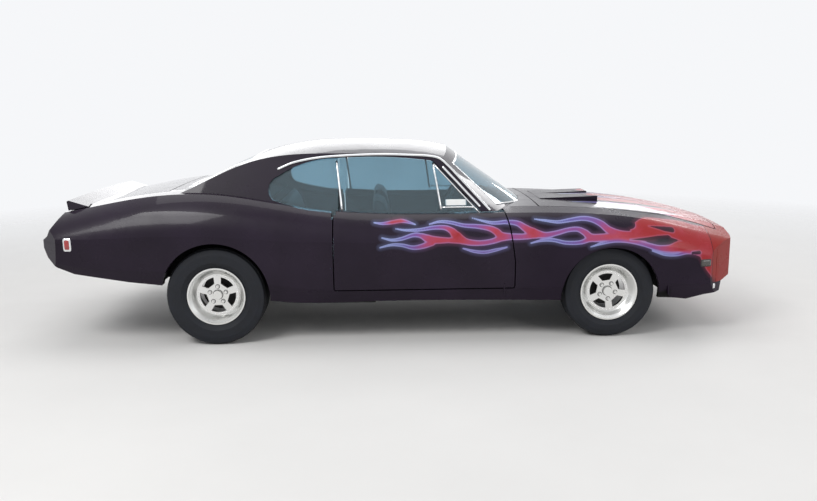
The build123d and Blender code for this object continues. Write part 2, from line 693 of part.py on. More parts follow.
# Floor: cabin floor with its tunnel, kick-up over the axle, boot floor
with BuildPart() as floor_pan:
    with BuildSketch(Plane.XZ.offset(-FLOOR_HALF)):
        Polygon((KICK_X, FLOOR_Z), (TOE_X, FLOOR_Z), (FIREWALL_X, TOE_Z - PLATE), (FIREWALL_X, TOE_Z),
                (TOE_X, FLOOR_Z + PLATE), (KICK_X, FLOOR_Z + PLATE), align=None)
    extrude(amount=2 * FLOOR_HALF)
    add(body_shell, mode=Mode.SUBTRACT)
    add(region(KICK_X - 10, 1100, -OUTER_Y, OUTER_Y, 0, 500) - body_inner, mode=Mode.SUBTRACT)
    with BuildSketch(Plane.XZ.offset(-REAR_TUB_Y + SEAT)):
        Polygon((KICK_X, FLOOR_Z), (KICK_X, KICK_Z + PLATE), (FLOOR_REAR_X, KICK_Z + PLATE),
                (FLOOR_REAR_X, KICK_Z), (KICK_X - PLATE, KICK_Z), (KICK_X - PLATE, FLOOR_Z), align=None)
    extrude(amount=2 * (REAR_TUB_Y - SEAT))
    with BuildSketch(Plane.YZ.offset(KICK_X)):
        Polygon((-TUNNEL_HALF, FLOOR_Z), (-TUNNEL_HALF + 30, TUNNEL_Z), (TUNNEL_HALF - 30, TUNNEL_Z),
                (TUNNEL_HALF, FLOOR_Z), align=None)
    extrude(amount=FIREWALL_X - KICK_X)
    with BuildSketch(Plane.YZ.offset(KICK_X - 20)):
        Polygon((-TUNNEL_HALF + PLATE, FLOOR_Z - 1), (-TUNNEL_HALF + 30 + PLATE, TUNNEL_Z - PLATE),
                (TUNNEL_HALF - 30 - PLATE, TUNNEL_Z - PLATE), (TUNNEL_HALF - PLATE, FLOOR_Z - 1), align=None)
    extrude(amount=FIREWALL_X - KICK_X + 40, mode=Mode.SUBTRACT)
save(floor_pan.part, "floor_pan")

# Perimeter frame: two rails with crossmembers
with BuildPart() as frame_rails:
    for side in (-1, 1):
        rail = [Vector(x, side * y, z) for x, y, z in RAIL_POINTS]
        with BuildLine() as path:
            Polyline(*rail)
        with BuildSketch(Plane(origin=rail[0], z_dir=rail[1] - rail[0], x_dir=(0, 1, 0))):
            Rectangle(RAIL_WIDTH, RAIL_HEIGHT)
        sweep(path=path.line, transition=Transition.RIGHT)
    for x, half, z in CROSSMEMBERS:
        with Locations((x, 0, z)):
            Box(70, 2 * half, 50)
save(frame_rails.part, "frame_rails")

# Engine with gearbox, as one plain block
with BuildPart() as engine:
    with Locations(((ENGINE_REAR_X + ENGINE_FRONT_X) / 2, 0, 560)):
        Box(ENGINE_FRONT_X - ENGINE_REAR_X, 520, 480)
    with BuildSketch(Plane.YZ.offset(GEARBOX_REAR_X)):
        with Locations((0, SHAFT_Z)):
            Circle(GEARBOX_R)
    extrude(amount=ENGINE_REAR_X - GEARBOX_REAR_X)
save(engine.part, "engine")

# Drive shaft, rear axle and fuel tank
with BuildPart() as driveshaft:
    with BuildSketch(Plane.YZ.offset(REAR_X + DIFF_R + SEAT)):
        with Locations((0, SHAFT_Z)):
            Circle(36)
    extrude(amount=GEARBOX_REAR_X - REAR_X - DIFF_R - 2 * SEAT)
save(driveshaft.part, "driveshaft")
with BuildPart() as rear_axle:
    with Locations((REAR_X, 0, REAR_TYRE_R)):
        Sphere(DIFF_R)
        Cylinder(38, 2 * (REAR_WHEEL_Y - 60), rotation=(90, 0, 0))
        Cylinder(SPINDLE_R, 2 * (REAR_WHEEL_Y + 10), rotation=(90, 0, 0))
    for side in (-1, 1):
        with Locations((REAR_X, side * (REAR_WHEEL_Y - 66), REAR_TYRE_R)):
            Cylinder(130, 10, rotation=(90, 0, 0))
save(rear_axle.part, "rear_axle")
with BuildPart() as fuel_tank:
    with Locations((TANK_X, 0, KICK_Z - SEAT - TANK_HEIGHT / 2)):
        Box(400, 860, TANK_HEIGHT)
    fillet(fuel_tank.edges().filter_by(Axis.Z), 30)
save(fuel_tank.part, "fuel_tank")

# Front suspension: crossmember with upper and lower arms
with BuildPart() as front_suspension:
    with Locations((FRONT_X, 0, LOWER_ARM_Z + 40)):
        Box(150, 740, 80)
    for side in (-1, 1):
        with BuildSketch(Plane.XY.offset(LOWER_ARM_Z)):
            Polygon((FRONT_X - 75, side * 360), (FRONT_X + 75, side * 360), (FRONT_X + 22, side * 668),
                    (FRONT_X - 22, side * 668), align=None)
        extrude(amount=24)
        with BuildSketch(Plane.XY.offset(UPPER_ARM_Z)):
            Polygon((FRONT_X - 70, side * 400), (FRONT_X + 70, side * 400), (FRONT_X + 18, side * 662),
                    (FRONT_X - 18, side * 662), align=None)
        extrude(amount=18)
        for low_z, high_z in ((LOWER_ARM_Z, FRONT_RAIL_Z - RAIL_HEIGHT / 2 - SEAT),
                              (FRONT_RAIL_Z + RAIL_HEIGHT / 2 + SEAT, UPPER_ARM_Z + 18)):
            with Locations((FRONT_X, side * 380, (low_z + high_z) / 2)):
                Box(120, 60, high_z - low_z)
save(front_suspension.part, "front_suspension")

# Front knuckles
with BuildPart() as knuckle:
    with Locations((FRONT_X, -KINGPIN_Y, (LOWER_ARM_Z + 24 + UPPER_ARM_Z) / 2)):
        Cylinder(KINGPIN_R, UPPER_ARM_Z - LOWER_ARM_Z - 24 - 2 * SEAT)
    with Locations((FRONT_X, -(KINGPIN_Y + FRONT_WHEEL_Y + 10) / 2, FRONT_TYRE_R)):
        Cylinder(SPINDLE_R, FRONT_WHEEL_Y + 10 - KINGPIN_Y, rotation=(90, 0, 0))
    with Locations((FRONT_X, -FRONT_WHEEL_Y + 62, FRONT_TYRE_R)):
        Cylinder(120, 8, rotation=(90, 0, 0))
save_pair(knuckle.part, "knuckle")

# Wheels: rim and tyre at each corner
for place, x, y, tyre_r, tyre_half, rim_half, spoke_out, window_angle in (
    ("front", FRONT_X, FRONT_WHEEL_Y, FRONT_TYRE_R, FRONT_TYRE_HALF, FRONT_RIM_HALF, 44, 26),
    ("rear", REAR_X, REAR_WHEEL_Y, REAR_TYRE_R, REAR_TYRE_HALF, REAR_RIM_HALF, 52, 54),
):
    spoke_in = spoke_out - SPOKE_DEPTH
    slope = (rim_half - spoke_out) / 3
    centre = Vector(x, -y, tyre_r)
    section = Plane(origin=centre, x_dir=(0, 0, 1), z_dir=(1, 0, 0))
    face = Plane(origin=centre, x_dir=(1, 0, 0), z_dir=(0, -1, 0))
    with BuildPart() as rim:
        with BuildSketch(section):
            Polygon(
                (RIM_LIP_R, rim_half - 7), (RIM_LIP_R, rim_half), (198, rim_half), (180, rim_half - slope),
                (160, spoke_out + slope / 2), (SPOKE_R, spoke_out), (SPOKE_R - 4, spoke_in),
                (160, spoke_in - 6),
                (162, 24 - rim_half), (184, 8 - rim_half), (198, -rim_half), (RIM_LIP_R, -rim_half),
                (RIM_LIP_R, 7 - rim_half), (BEAD_R, 12 - rim_half), (BEAD_R - 2, 32 - rim_half),
                (170, 48 - rim_half), (170, rim_half - 48), (BEAD_R - 2, rim_half - 32),
                (BEAD_R, rim_half - 12), align=None)
        revolve(axis=Axis(centre, (0, -1, 0)))
        with BuildSketch(face.offset(spoke_in)):
            Circle(WINDOW_OUTER_R + 2)
            with PolarLocations(WINDOW_INNER_R + WINDOW_HEIGHT / 2, 5, start_angle=window_angle):
                Trapezoid(136, WINDOW_HEIGHT, 57, rotation=90, mode=Mode.SUBTRACT)
        extrude(amount=SPOKE_DEPTH)
        with BuildSketch(face.offset(spoke_in)):
            Circle(SPOKE_R)
            Circle(WINDOW_OUTER_R, mode=Mode.SUBTRACT)
        extrude(amount=SPOKE_DEPTH)
        with BuildSketch(face.offset(HUB_IN)):
            Circle(HUB_R)
        extrude(amount=spoke_out - HUB_IN)
        with BuildSketch(face.offset(spoke_out)):
            Circle(CAP_R)
        extrude(amount=CAP_HEIGHT)
        with BuildSketch(face.offset(spoke_out)):
            with PolarLocations(LUG_CIRCLE_R, 5, start_angle=window_angle + 36):
                RegularPolygon(LUG_R, 6)
        extrude(amount=LUG_HEIGHT)
        with BuildSketch(face.offset(HUB_IN)):
            Circle(SPINDLE_R + RUN)
        extrude(amount=10 - HUB_IN + 2, mode=Mode.SUBTRACT)
    save_pair(rim.part, f"rim_{place}")
    with BuildPart() as tyre:
        with BuildSketch(section):
            with BuildLine():
                Polyline(
                    (tyre_r, 0), (tyre_r - 1, tyre_half - 34), (tyre_r - 14, tyre_half - 8),
                    (tyre_r - 50, tyre_half), (RIM_LIP_R + 40, tyre_half - 1),
                    (RIM_LIP_R + 2, rim_half - 9), (BEAD_R + SEAT, rim_half - 12), (BEAD_R + SEAT, 0))
                mirror(about=Plane.XZ)
            make_face()
        revolve(axis=Axis(centre, (0, -1, 0)))
    save_pair(tyre.part, f"tyre_{place}")

# Cabin: dashboard, steering wheel on its column, seats and shelf
with BuildPart() as dashboard:
    with BuildSketch(Plane.XZ.offset(-DASH_HALF)):
        Polygon((FIREWALL_X, 880), (700, 890), (620, 866), (600, 800), (660, 700), (FIREWALL_X, 700),
                align=None)
    extrude(amount=2 * DASH_HALF)
save(dashboard.part, "dashboard")
with BuildPart() as steering_wheel:
    hub_plane = Plane(origin=(STEERING_X, SEAT_Y, STEERING_Z), z_dir=(-cos(radians(28)), 0, sin(radians(28))))
    with BuildSketch(Plane(origin=hub_plane.origin, x_dir=hub_plane.x_dir, z_dir=hub_plane.y_dir)):
        with Locations((STEERING_R, 0)):
            Circle(12)
    revolve(axis=Axis(hub_plane.origin, hub_plane.z_dir))
    with BuildSketch(hub_plane):
        Circle(42)
        Rectangle(2 * STEERING_R, 26)
        Rectangle(26, 2 * STEERING_R)
    extrude(amount=-10)
    with BuildSketch(hub_plane):
        Circle(24)
    extrude(amount=-(STEERING_COLUMN))
    add(dashboard.part, mode=Mode.SUBTRACT)
save(steering_wheel.part, "steering_wheel")
with BuildPart() as front_seats:
    for y in (-SEAT_Y, SEAT_Y):
        with BuildSketch(Plane.XZ.offset(-y - SEAT_HALF)):
            Polygon((-60, 440), (440, 470), (460, 560), (60, 540), (-110, 1000), (-190, 1000), (-150, 600),
                    align=None)
        extrude(amount=2 * SEAT_HALF)
        with BuildSketch(Plane.XY.offset(FLOOR_Z + PLATE)):
            with Locations((150, y)):
                Rectangle(420, 380)
        extrude(amount=130)
save(front_seats.part, "front_seats")
with BuildPart() as rear_seat:
    with BuildSketch(Plane.XZ.offset(-REAR_SEAT_HALF)):
        Polygon((-340, FLOOR_Z + PLATE), (-330, 540), (-700, 520), (-860, 960), (-960, 980), (-960, 600),
                (KICK_X, KICK_Z + PLATE), (KICK_X, FLOOR_Z + PLATE), align=None)
    extrude(amount=2 * REAR_SEAT_HALF)
    add(region(-900, 0, -TUNNEL_HALF - SEAT, TUNNEL_HALF + SEAT, 0, TUNNEL_Z + SEAT), mode=Mode.SUBTRACT)
save(rear_seat.part, "rear_seat")
with BuildPart() as rear_shelf:
    add(region(-1600, -965, -780, 780, 985, 997) & body_inner)
save(rear_shelf.part, "rear_shelf")

# Exhaust: two pipes with mufflers, ending before the axle
with BuildPart() as exhaust:
    for side in (-1, 1):
        with BuildLine() as pipe:
            FilletPolyline((1480, side * EXHAUST_Y, 380), (1290, side * EXHAUST_Y, EXHAUST_Z),
                           (-1000, side * EXHAUST_Y, EXHAUST_Z), radius=90)
        with BuildSketch(Plane(origin=pipe.line @ 0, z_dir=pipe.line % 0)):
            Circle(30)
        sweep(path=pipe.line)
        with Locations((-400, side * EXHAUST_Y, EXHAUST_Z + 8)):
            Box(460, 220, 84)
        strap_z = EXHAUST_Z + 50
        with Locations((-400, side * EXHAUST_Y, (strap_z + FLOOR_Z - SEAT) / 2)):
            Box(30, 40, FLOOR_Z - SEAT - strap_z)
save(exhaust.part, "exhaust")
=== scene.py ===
import json
import math

import bmesh
import bpy
import numpy as np
from mathutils import Matrix, Vector
from mathutils.bvhtree import BVHTree

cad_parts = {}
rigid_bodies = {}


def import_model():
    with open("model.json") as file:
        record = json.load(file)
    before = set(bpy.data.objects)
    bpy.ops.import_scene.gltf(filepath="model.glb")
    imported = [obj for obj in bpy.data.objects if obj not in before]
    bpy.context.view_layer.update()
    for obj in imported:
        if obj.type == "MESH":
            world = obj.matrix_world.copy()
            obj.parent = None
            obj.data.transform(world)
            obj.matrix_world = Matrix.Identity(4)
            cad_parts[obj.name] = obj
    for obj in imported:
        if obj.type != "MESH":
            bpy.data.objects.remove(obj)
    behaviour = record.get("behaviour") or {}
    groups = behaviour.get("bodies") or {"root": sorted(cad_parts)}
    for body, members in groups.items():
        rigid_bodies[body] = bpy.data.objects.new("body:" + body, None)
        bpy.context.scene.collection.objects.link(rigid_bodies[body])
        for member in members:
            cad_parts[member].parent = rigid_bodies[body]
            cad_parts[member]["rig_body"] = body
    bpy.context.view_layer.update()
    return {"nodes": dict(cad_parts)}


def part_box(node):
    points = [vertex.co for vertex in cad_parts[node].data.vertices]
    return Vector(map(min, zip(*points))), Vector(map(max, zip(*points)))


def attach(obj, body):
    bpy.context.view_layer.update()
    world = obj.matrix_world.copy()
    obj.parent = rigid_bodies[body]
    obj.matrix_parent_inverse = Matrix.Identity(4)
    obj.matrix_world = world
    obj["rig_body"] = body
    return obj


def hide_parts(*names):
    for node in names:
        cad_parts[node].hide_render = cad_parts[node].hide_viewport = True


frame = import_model()
nodes = frame["nodes"]
SIDES = ((-1, "right"), (1, "left"))  # sign of Y, and name

# Camera, as the photograph was taken: metres, degrees and millimetres
CAMERA_PLACE = (-0.074, -6.46, 1.708)
CAMERA_YAW = 1.56
CAMERA_PITCH = 10.53
CAMERA_ROLL = -0.55
CAMERA_LENS = 34.99
SENSOR_WIDTH = 36

camera_data = bpy.data.cameras.new("camera")
camera_data.lens = CAMERA_LENS
camera_data.sensor_width = SENSOR_WIDTH
camera = bpy.data.objects.new("camera", camera_data)
bpy.context.scene.collection.objects.link(camera)
turn = (Matrix.Rotation(math.radians(-CAMERA_YAW), 4, "Z")
        @ Matrix.Rotation(math.radians(90 - CAMERA_PITCH), 4, "X")
        @ Matrix.Rotation(math.radians(CAMERA_ROLL), 4, "Z"))
camera.matrix_world = Matrix.Translation(CAMERA_PLACE) @ turn
bpy.context.scene.camera = camera
bpy.context.scene.view_settings.view_transform = "Standard"


# Materials

NOISE_ROUGHNESS = 0.55
NOISE_LOW, NOISE_HIGH = 0.3, 0.7  # where noise turns from its first value to its second


class Nodes:
    """A material's node tree with its principled shader and short ways to add nodes."""

    def __init__(self, name):
        self.material = bpy.data.materials.new(name)
        self.material.use_nodes = True
        self.tree = self.material.node_tree
        self.shader = self.tree.nodes["Principled BSDF"]
        self.place = self.tree.nodes.new("ShaderNodeTexCoord").outputs["Object"]

    def add(self, kind, **settings):
        """A new node with some of its properties set."""
        node = self.tree.nodes.new(kind)
        for key, value in settings.items():
            setattr(node, key, value)
        return node

    def link(self, source, target):
        self.tree.links.new(source, target)

    def set(self, **values):
        """Constants on the shader's inputs, with _ for each space in a name."""
        for key, value in values.items():
            self.shader.inputs[key.replace("_", " ")].default_value = value

    def feed(self, **sources):
        """Links to the shader's inputs, with _ for each space in a name."""
        for key, source in sources.items():
            self.link(source, self.shader.inputs[key.replace("_", " ")])

    def math(self, operation, a, b=0.0, clamp=False):
        node = self.add("ShaderNodeMath", operation=operation, use_clamp=clamp)
        for socket, value in zip(node.inputs, (a, b)):
            if isinstance(value, (int, float)):
                socket.default_value = value
            else:
                self.link(value, socket)
        return node.outputs[0]

    def length(self, a, b):
        """Length of a vector with two parts."""
        return self.math("SQRT", self.math("ADD", self.math("MULTIPLY", a, a),
                                           self.math("MULTIPLY", b, b)))

    def split(self, vector):
        """The X, Y and Z of a vector."""
        node = self.add("ShaderNodeSeparateXYZ")
        self.link(vector, node.inputs[0])
        return node.outputs

    def noise(self, scale, detail=4.0):
        """Noise in the object's own coordinates."""
        node = self.add("ShaderNodeTexNoise")
        node.inputs["Scale"].default_value = scale
        node.inputs["Detail"].default_value = detail
        node.inputs["Roughness"].default_value = NOISE_ROUGHNESS
        self.link(self.place, node.inputs["Vector"])
        return node.outputs["Fac"]

    def ramp(self, value, stops):
        """Colours along a value, from (position, colour) pairs."""
        node = self.add("ShaderNodeValToRGB")
        elements = node.color_ramp.elements
        while len(elements) < len(stops):
            elements.new(0.5)
        for element, (position, color) in zip(elements, stops):
            element.position = position
            element.color = (*color, 1)
        self.link(value, node.inputs["Fac"])
        return node.outputs["Color"]

    def span(self, value, low, high, to_low=0.0, to_high=1.0):
        """A value's range mapped to another and clamped there."""
        node = self.add("ShaderNodeMapRange", clamp=True)
        self.link(value, node.inputs["Value"])
        for socket, number in zip(list(node.inputs)[1:5], (low, high, to_low, to_high)):
            socket.default_value = number
        return node.outputs[0]

    def blotches(self, scale, dark, light, detail=4.0):
        """Noise between two colours."""
        return self.ramp(self.noise(scale, detail), [(NOISE_LOW, dark), (NOISE_HIGH, light)])

    def uneven(self, scale, low, high, detail=4.0):
        """Noise between two values."""
        return self.span(self.noise(scale, detail), NOISE_LOW, NOISE_HIGH, low, high)

    def mix(self, factor, a, b):
        """Two colours mixed by a factor."""
        node = self.add("ShaderNodeMix", data_type="RGBA")
        for socket, value in ((node.inputs[0], factor), (node.inputs[6], a), (node.inputs[7], b)):
            if isinstance(value, tuple):
                socket.default_value = (*value, 1)
            else:
                self.link(value, socket)
        return node.outputs[2]

    def bump(self, height, distance):
        node = self.add("ShaderNodeBump")
        node.inputs["Distance"].default_value = distance
        self.link(height, node.inputs["Height"])
        self.feed(Normal=node.outputs[0])


def shades(color, spread, lift=0.0):
    """A darker and a lighter neighbour of a colour."""
    return tuple(c * (1 - spread) for c in color), tuple(c * (1 + spread) + lift for c in color)


def surface(name, color, roughness, metallic=0.0, coat=0.0, scale=6.0, spread=0.15, lift=0.0,
            rough_spread=0.08, grain=0.0, grain_scale=400.0):
    """A material with uneven colour, uneven roughness and, where wanted, a grain."""
    m = Nodes(name)
    m.feed(Base_Color=m.blotches(scale, *shades(color, spread, lift)),
           Roughness=m.uneven(scale * 7, roughness - rough_spread, roughness + rough_spread,
                              detail=3.0))
    m.set(Metallic=metallic, Coat_Weight=coat, Coat_Roughness=0.03)
    if grain:
        m.bump(m.noise(grain_scale, 2.0), grain)
    return m


PAINT = (0.010, 0.0055, 0.013)
PAINT_LIGHT = (0.017, 0.010, 0.022)
TRIM_BLACK = (0.012, 0.012, 0.014)
WELL_BLACK = (0.004, 0.004, 0.004)
COVERED_ROUGHNESS = 0.62

# Wheelhouses: x and height of the middle, and radius
FRONT_WELL = (1.541, 0.317, 0.445)
REAR_WELL = (-1.304, 0.361, 0.430)
WELL_EDGE = 0.006

# Where one finish gives way to the next, from and to: metres, or parts of the normal
WELL_SIDE = (0.868, 0.876)
CABIN_REAR = (-1.92, -1.90)
CABIN_FRONT = (0.93, 0.95)
LINING = (1.05, 1.10)
COWL = (0.80, 1.10)
SHOULDER = (0.80, 0.98)
BELT = (0.94, 0.98)
FACES_INWARD = (-0.30, -0.15)
FACES_DOWN = (-0.5, -0.3)
FACES_UP = (0.58, 0.78)

COAT_AHEAD = 0.32  # share of the clear coat that is left ahead of the cowl
COAT_FLANK = 0.42  # and on the flanks below the belt


def well_mask(m, x, z, well):
    """1 within a wheelhouse's radius of its axle, 0 outside."""
    axle_x, axle_z, radius = well
    r = m.length(m.math("SUBTRACT", x, axle_x), m.math("SUBTRACT", z, axle_z))
    return m.span(r, radius, radius + WELL_EDGE, 1, 0)


def paint_finish(m, color):
    """Clear coat over paint outside, matt black in the wheelhouses, satin trim in the cabin."""
    x, y, z = m.split(m.place)
    well = m.math("MAXIMUM", well_mask(m, x, z, FRONT_WELL), well_mask(m, x, z, REAR_WELL))
    well = m.math("MULTIPLY", well, m.span(m.math("ABSOLUTE", y), *WELL_SIDE, 1, 0))
    normals = m.add("ShaderNodeNewGeometry").outputs
    facing = m.split(normals["True Normal"])
    inward = m.span(m.math("MULTIPLY", facing["Y"], y), *FACES_INWARD, 1, 0)
    along = m.math("MULTIPLY", m.span(x, *CABIN_REAR), m.span(x, *CABIN_FRONT, 1, 0))
    lining = m.math("MULTIPLY", m.span(z, *LINING), m.span(facing["Z"], *FACES_DOWN, 1, 0))
    cabin = m.math("MAXIMUM", m.math("MULTIPLY", along, inward), lining)
    covered = m.math("MAXIMUM", well, cabin)
    trim = m.blotches(40.0, *shades(TRIM_BLACK, 0.3, 0.002))
    gloss = m.span(m.noise(5.0), NOISE_LOW, 0.75, 0.24, 0.36)
    upper = m.math("MAXIMUM", m.span(z, *BELT), m.span(m.split(normals["Normal"])["Z"], *FACES_UP))
    coat = m.math("MULTIPLY", m.span(covered, 0, 1, 1, 0), m.span(x, *COWL, 1.0, COAT_AHEAD))
    m.feed(Base_Color=m.mix(well, m.mix(cabin, color, trim), WELL_BLACK),
           Roughness=m.math("MAXIMUM", gloss, m.math("MULTIPLY", covered, COVERED_ROUGHNESS)),
           Coat_Weight=m.math("MULTIPLY", coat, m.span(upper, 0, 1, COAT_FLANK, 1.0)),
           Coat_Roughness=m.span(z, *SHOULDER, 0.16, 0.03))
    m.set(Coat_IOR=1.28, Specular_IOR_Level=0.12)


def ground_color(m):
    """The dark body colour."""
    return m.blotches(2.2, PAINT, PAINT_LIGHT, detail=6.0)


def body_paint():
    m = Nodes("body_paint")
    paint_finish(m, ground_color(m))
    return m.material


# Colours along a flame's heat, in its middle and at its rim
FLAME_HEAT = [
    (0.0, (0.13, 0.16, 0.36)), (0.18, (0.12, 0.10, 0.32)), (0.42, (0.20, 0.08, 0.28)),
    (0.65, (0.34, 0.070, 0.18)), (0.85, (0.40, 0.052, 0.085)), (1.0, (0.32, 0.027, 0.031)),
]
FLAME_RIM = [
    (0.0, (0.26, 0.31, 0.56)), (0.35, (0.26, 0.22, 0.50)), (0.7, (0.34, 0.17, 0.38)),
    (1.0, (0.36, 0.06, 0.09)),
]
# Distances inside a flame, from and to, at which its glow, rim and middle begin
GLOW_START = (-0.030, -0.006)
GLOW_SHARE = 0.15
RIM_START = (-0.0050, -0.0020)
FILL_START = (0.0015, 0.0075)


def flame_paint():
    """Body paint that turns into flames where the mesh's own flame distance says so."""
    m = Nodes("flame_paint")
    inside = m.add("ShaderNodeAttribute", attribute_name="flame_inside").outputs["Fac"]
    heat = m.add("ShaderNodeAttribute", attribute_name="flame_heat").outputs["Fac"]
    wander = m.math("MULTIPLY", m.math("SUBTRACT", m.noise(9.0), 0.5), 0.22)
    heat = m.math("ADD", heat, wander, clamp=True)
    rim = m.ramp(heat, FLAME_RIM)
    color = m.mix(m.span(inside, *GLOW_START, 0.0, GLOW_SHARE), ground_color(m), rim)
    color = m.mix(m.span(inside, *RIM_START), color, rim)
    color = m.mix(m.span(inside, *FILL_START), color, m.ramp(heat, FLAME_HEAT))
    paint_finish(m, color)
    return m.material


NOSE_RED = (0.30, 0.020, 0.022)
NOSE_ORANGE = (0.26, 0.030, 0.020)
# The red's lower border passes this x and height, and falls by the slope ahead of it
NOSE_BORDER = (2.30, 0.437)
NOSE_SLOPE = 1.1
NOSE_BLEND = 0.03


def nose_paint():
    """Red flame paint that fades to the body colour low down and behind."""
    m = Nodes("nose_paint")
    place = m.split(m.place)
    ahead = m.math("SUBTRACT", place["X"], NOSE_BORDER[0])
    above = m.math("SUBTRACT", place["Z"], NOSE_BORDER[1])
    drift = m.math("MULTIPLY", m.math("SUBTRACT", m.noise(7.0, 3.0), 0.5), 0.10)
    line = m.math("ADD", m.math("ADD", above, m.math("MULTIPLY", ahead, NOSE_SLOPE)), drift)
    red = m.blotches(4.0, NOSE_RED, NOSE_ORANGE)
    paint_finish(m, m.mix(m.span(line, -NOSE_BLEND, NOSE_BLEND), ground_color(m), red))
    return m.material


GLASS = (0.38, 0.54, 0.62)


def tinted_glass():
    """Tinted see-through glass with faint haze."""
    m = Nodes("tinted_glass")
    haze = m.noise(3.0, 5.0)
    m.feed(Base_Color=m.ramp(haze, [(NOISE_LOW, GLASS), (0.75, tuple(c * 1.12 for c in GLASS))]),
           Roughness=m.span(haze, 0.35, 0.8, 0.02, 0.05))
    m.set(Transmission_Weight=0.92, IOR=1.45)
    return m.material


def polished_alloy():
    """Polished cast alloy with slightly uneven shine."""
    m = Nodes("polished_alloy")
    m.feed(Base_Color=m.blotches(3.0, (0.74, 0.74, 0.72), (0.78, 0.78, 0.77), detail=1.0),
           Roughness=m.uneven(3.0, 0.26, 0.29, detail=1.0))
    m.set(Metallic=1.0)
    return m.material


RUBBER = (0.008, 0.009, 0.012)
RUBBER_DUSTY = (0.015, 0.017, 0.023)
# Colour in the tread grooves: painted shade, darker than the rubber round them
GROOVE_SHADE = (0.006, 0.006, 0.006)
TREAD_WAVES = 60  # round the tyre
TREAD_CYCLES = 4  # of grooves from the middle to the shoulder
SIDEWALL_PITCH = 620  # radians of ring pattern for each metre of radius


def tyre_rubber(name, centre, radius, half):
    """Rubber with wavy tread grooves round the crown, painted darker in them as shade, and fine
    rings on the sidewalls.
    """
    m = Nodes(name)
    x, y, z = m.split(m.place)
    dx, dz = m.math("SUBTRACT", x, centre.x), m.math("SUBTRACT", z, centre.z)
    r = m.length(dx, dz)
    across = m.math("SUBTRACT", m.math("ABSOLUTE", y), abs(centre.y))
    sway = m.math("SINE", m.math("MULTIPLY", m.math("ARCTAN2", dz, dx), TREAD_WAVES))
    waves = m.math("ADD", m.math("MULTIPLY", across, 2 * math.pi * TREAD_CYCLES / half),
                   m.math("MULTIPLY", sway, 0.7))
    crown = m.span(r, radius - 0.016, radius - 0.010)
    sidewall = m.span(r, radius - 0.060, radius - 0.050, 1, 0)
    groove = m.math("MULTIPLY", crown, m.span(m.math("SINE", waves), 0.55, 0.85))
    pattern = m.math("SINE", m.math("MULTIPLY", r, SIDEWALL_PITCH))
    rings = m.math("MULTIPLY", m.span(pattern, 0.4, 0.9), sidewall)
    dust = m.noise(16.0, 5.0)
    dusty = m.ramp(dust, [(NOISE_LOW, RUBBER), (0.75, RUBBER_DUSTY)])
    # the grooves take a darker colour: painted shade in the recesses
    m.feed(Base_Color=m.mix(groove, dusty, GROOVE_SHADE),
           Roughness=m.span(dust, NOISE_LOW, NOISE_HIGH, 0.55, 0.75))
    m.set(Specular_IOR_Level=0.3)
    m.bump(m.math("SUBTRACT", m.math("MULTIPLY", rings, 0.15), groove), 0.004)
    return m.material


def vinyl():
    """Grained seat vinyl."""
    m = Nodes("seat_vinyl")
    cells = m.add("ShaderNodeTexVoronoi")
    cells.inputs["Scale"].default_value = 420.0
    m.link(m.place, cells.inputs["Vector"])
    m.feed(Base_Color=m.blotches(5.0, *shades((0.020, 0.021, 0.024), 0.25, 0.004)),
           Roughness=m.uneven(30.0, 0.42, 0.58))
    m.bump(cells.outputs["Distance"], 0.0006)
    return m.material


def carpet():
    """Dull black pile."""
    m = surface("carpet", (0.010, 0.010, 0.012), 0.90, scale=60, spread=0.4, grain=0.003,
                grain_scale=700.0)
    m.set(Specular_IOR_Level=0.04)
    return m.material


paints = {
    "body": body_paint(),
    "flame": flame_paint(),
    "nose": nose_paint(),
    "glass": tinted_glass(),
    "chrome": surface("chrome", (0.78, 0.79, 0.80), 0.10, metallic=1.0, scale=14.0, spread=0.06,
                      rough_spread=0.05, grain=0.0002, grain_scale=60.0).material,
    "alloy": polished_alloy(),
    "black": surface("black_plastic", (0.016, 0.016, 0.017), 0.50, scale=20, spread=0.3,
                     grain=0.0004, grain_scale=900.0).material,
    "under": surface("underbody", (0.022, 0.021, 0.020), 0.62, scale=8, spread=0.5, lift=0.006,
                     grain=0.001, grain_scale=120.0).material,
    "iron": surface("engine_iron", (0.07, 0.14, 0.25), 0.50, scale=12, spread=0.3, grain=0.001,
                    grain_scale=90.0).material,
    "lamp_red": surface("lamp_red", (0.34, 0.010, 0.012), 0.12, coat=1.0, scale=30, spread=0.2,
                        grain=0.002, grain_scale=160.0).material,
    "lamp_smoke": surface("lamp_smoke", (0.035, 0.032, 0.026), 0.12, coat=1.0, scale=30,
                          spread=0.2, grain=0.002, grain_scale=160.0).material,
    "vinyl": vinyl(),
    "sticker": surface("blank_label", (0.80, 0.81, 0.80), 0.5, scale=20, spread=0.03).material,
    "carpet": carpet(),
}

NODE_PAINTS = {
    "body": ["roof", "quarter_right", "quarter_left", "fender_right", "fender_left", "rockers",
             "firewall", "front_valance", "tail_panel", "rear_bumper", "door_right", "door_left",
             "hood", "trunk_lid", "spoiler"],
    "nose": ["nose_bumper"],
    "glass": ["quarter_glass", "windscreen", "rear_window", "door_glass_right",
              "door_glass_left"],
    "black": ["grille", "dashboard", "steering_wheel"],
    "carpet": ["rear_shelf"],
    "lamp_red": ["tail_lamps"],
    "under": ["floor_pan", "frame_rails", "driveshaft", "rear_axle", "fuel_tank",
              "front_suspension", "exhaust", "knuckle_right", "knuckle_left"],
    "iron": ["engine"],
    "vinyl": ["front_seats", "rear_seat"],
    "alloy": ["rim_front_right", "rim_front_left", "rim_rear_right", "rim_rear_left"],
}


def dress(thing, material):
    """Give an object one material."""
    thing.data.materials.clear()
    thing.data.materials.append(material)


for paint, names in NODE_PAINTS.items():
    for name in names:
        dress(nodes[name], paints[paint])

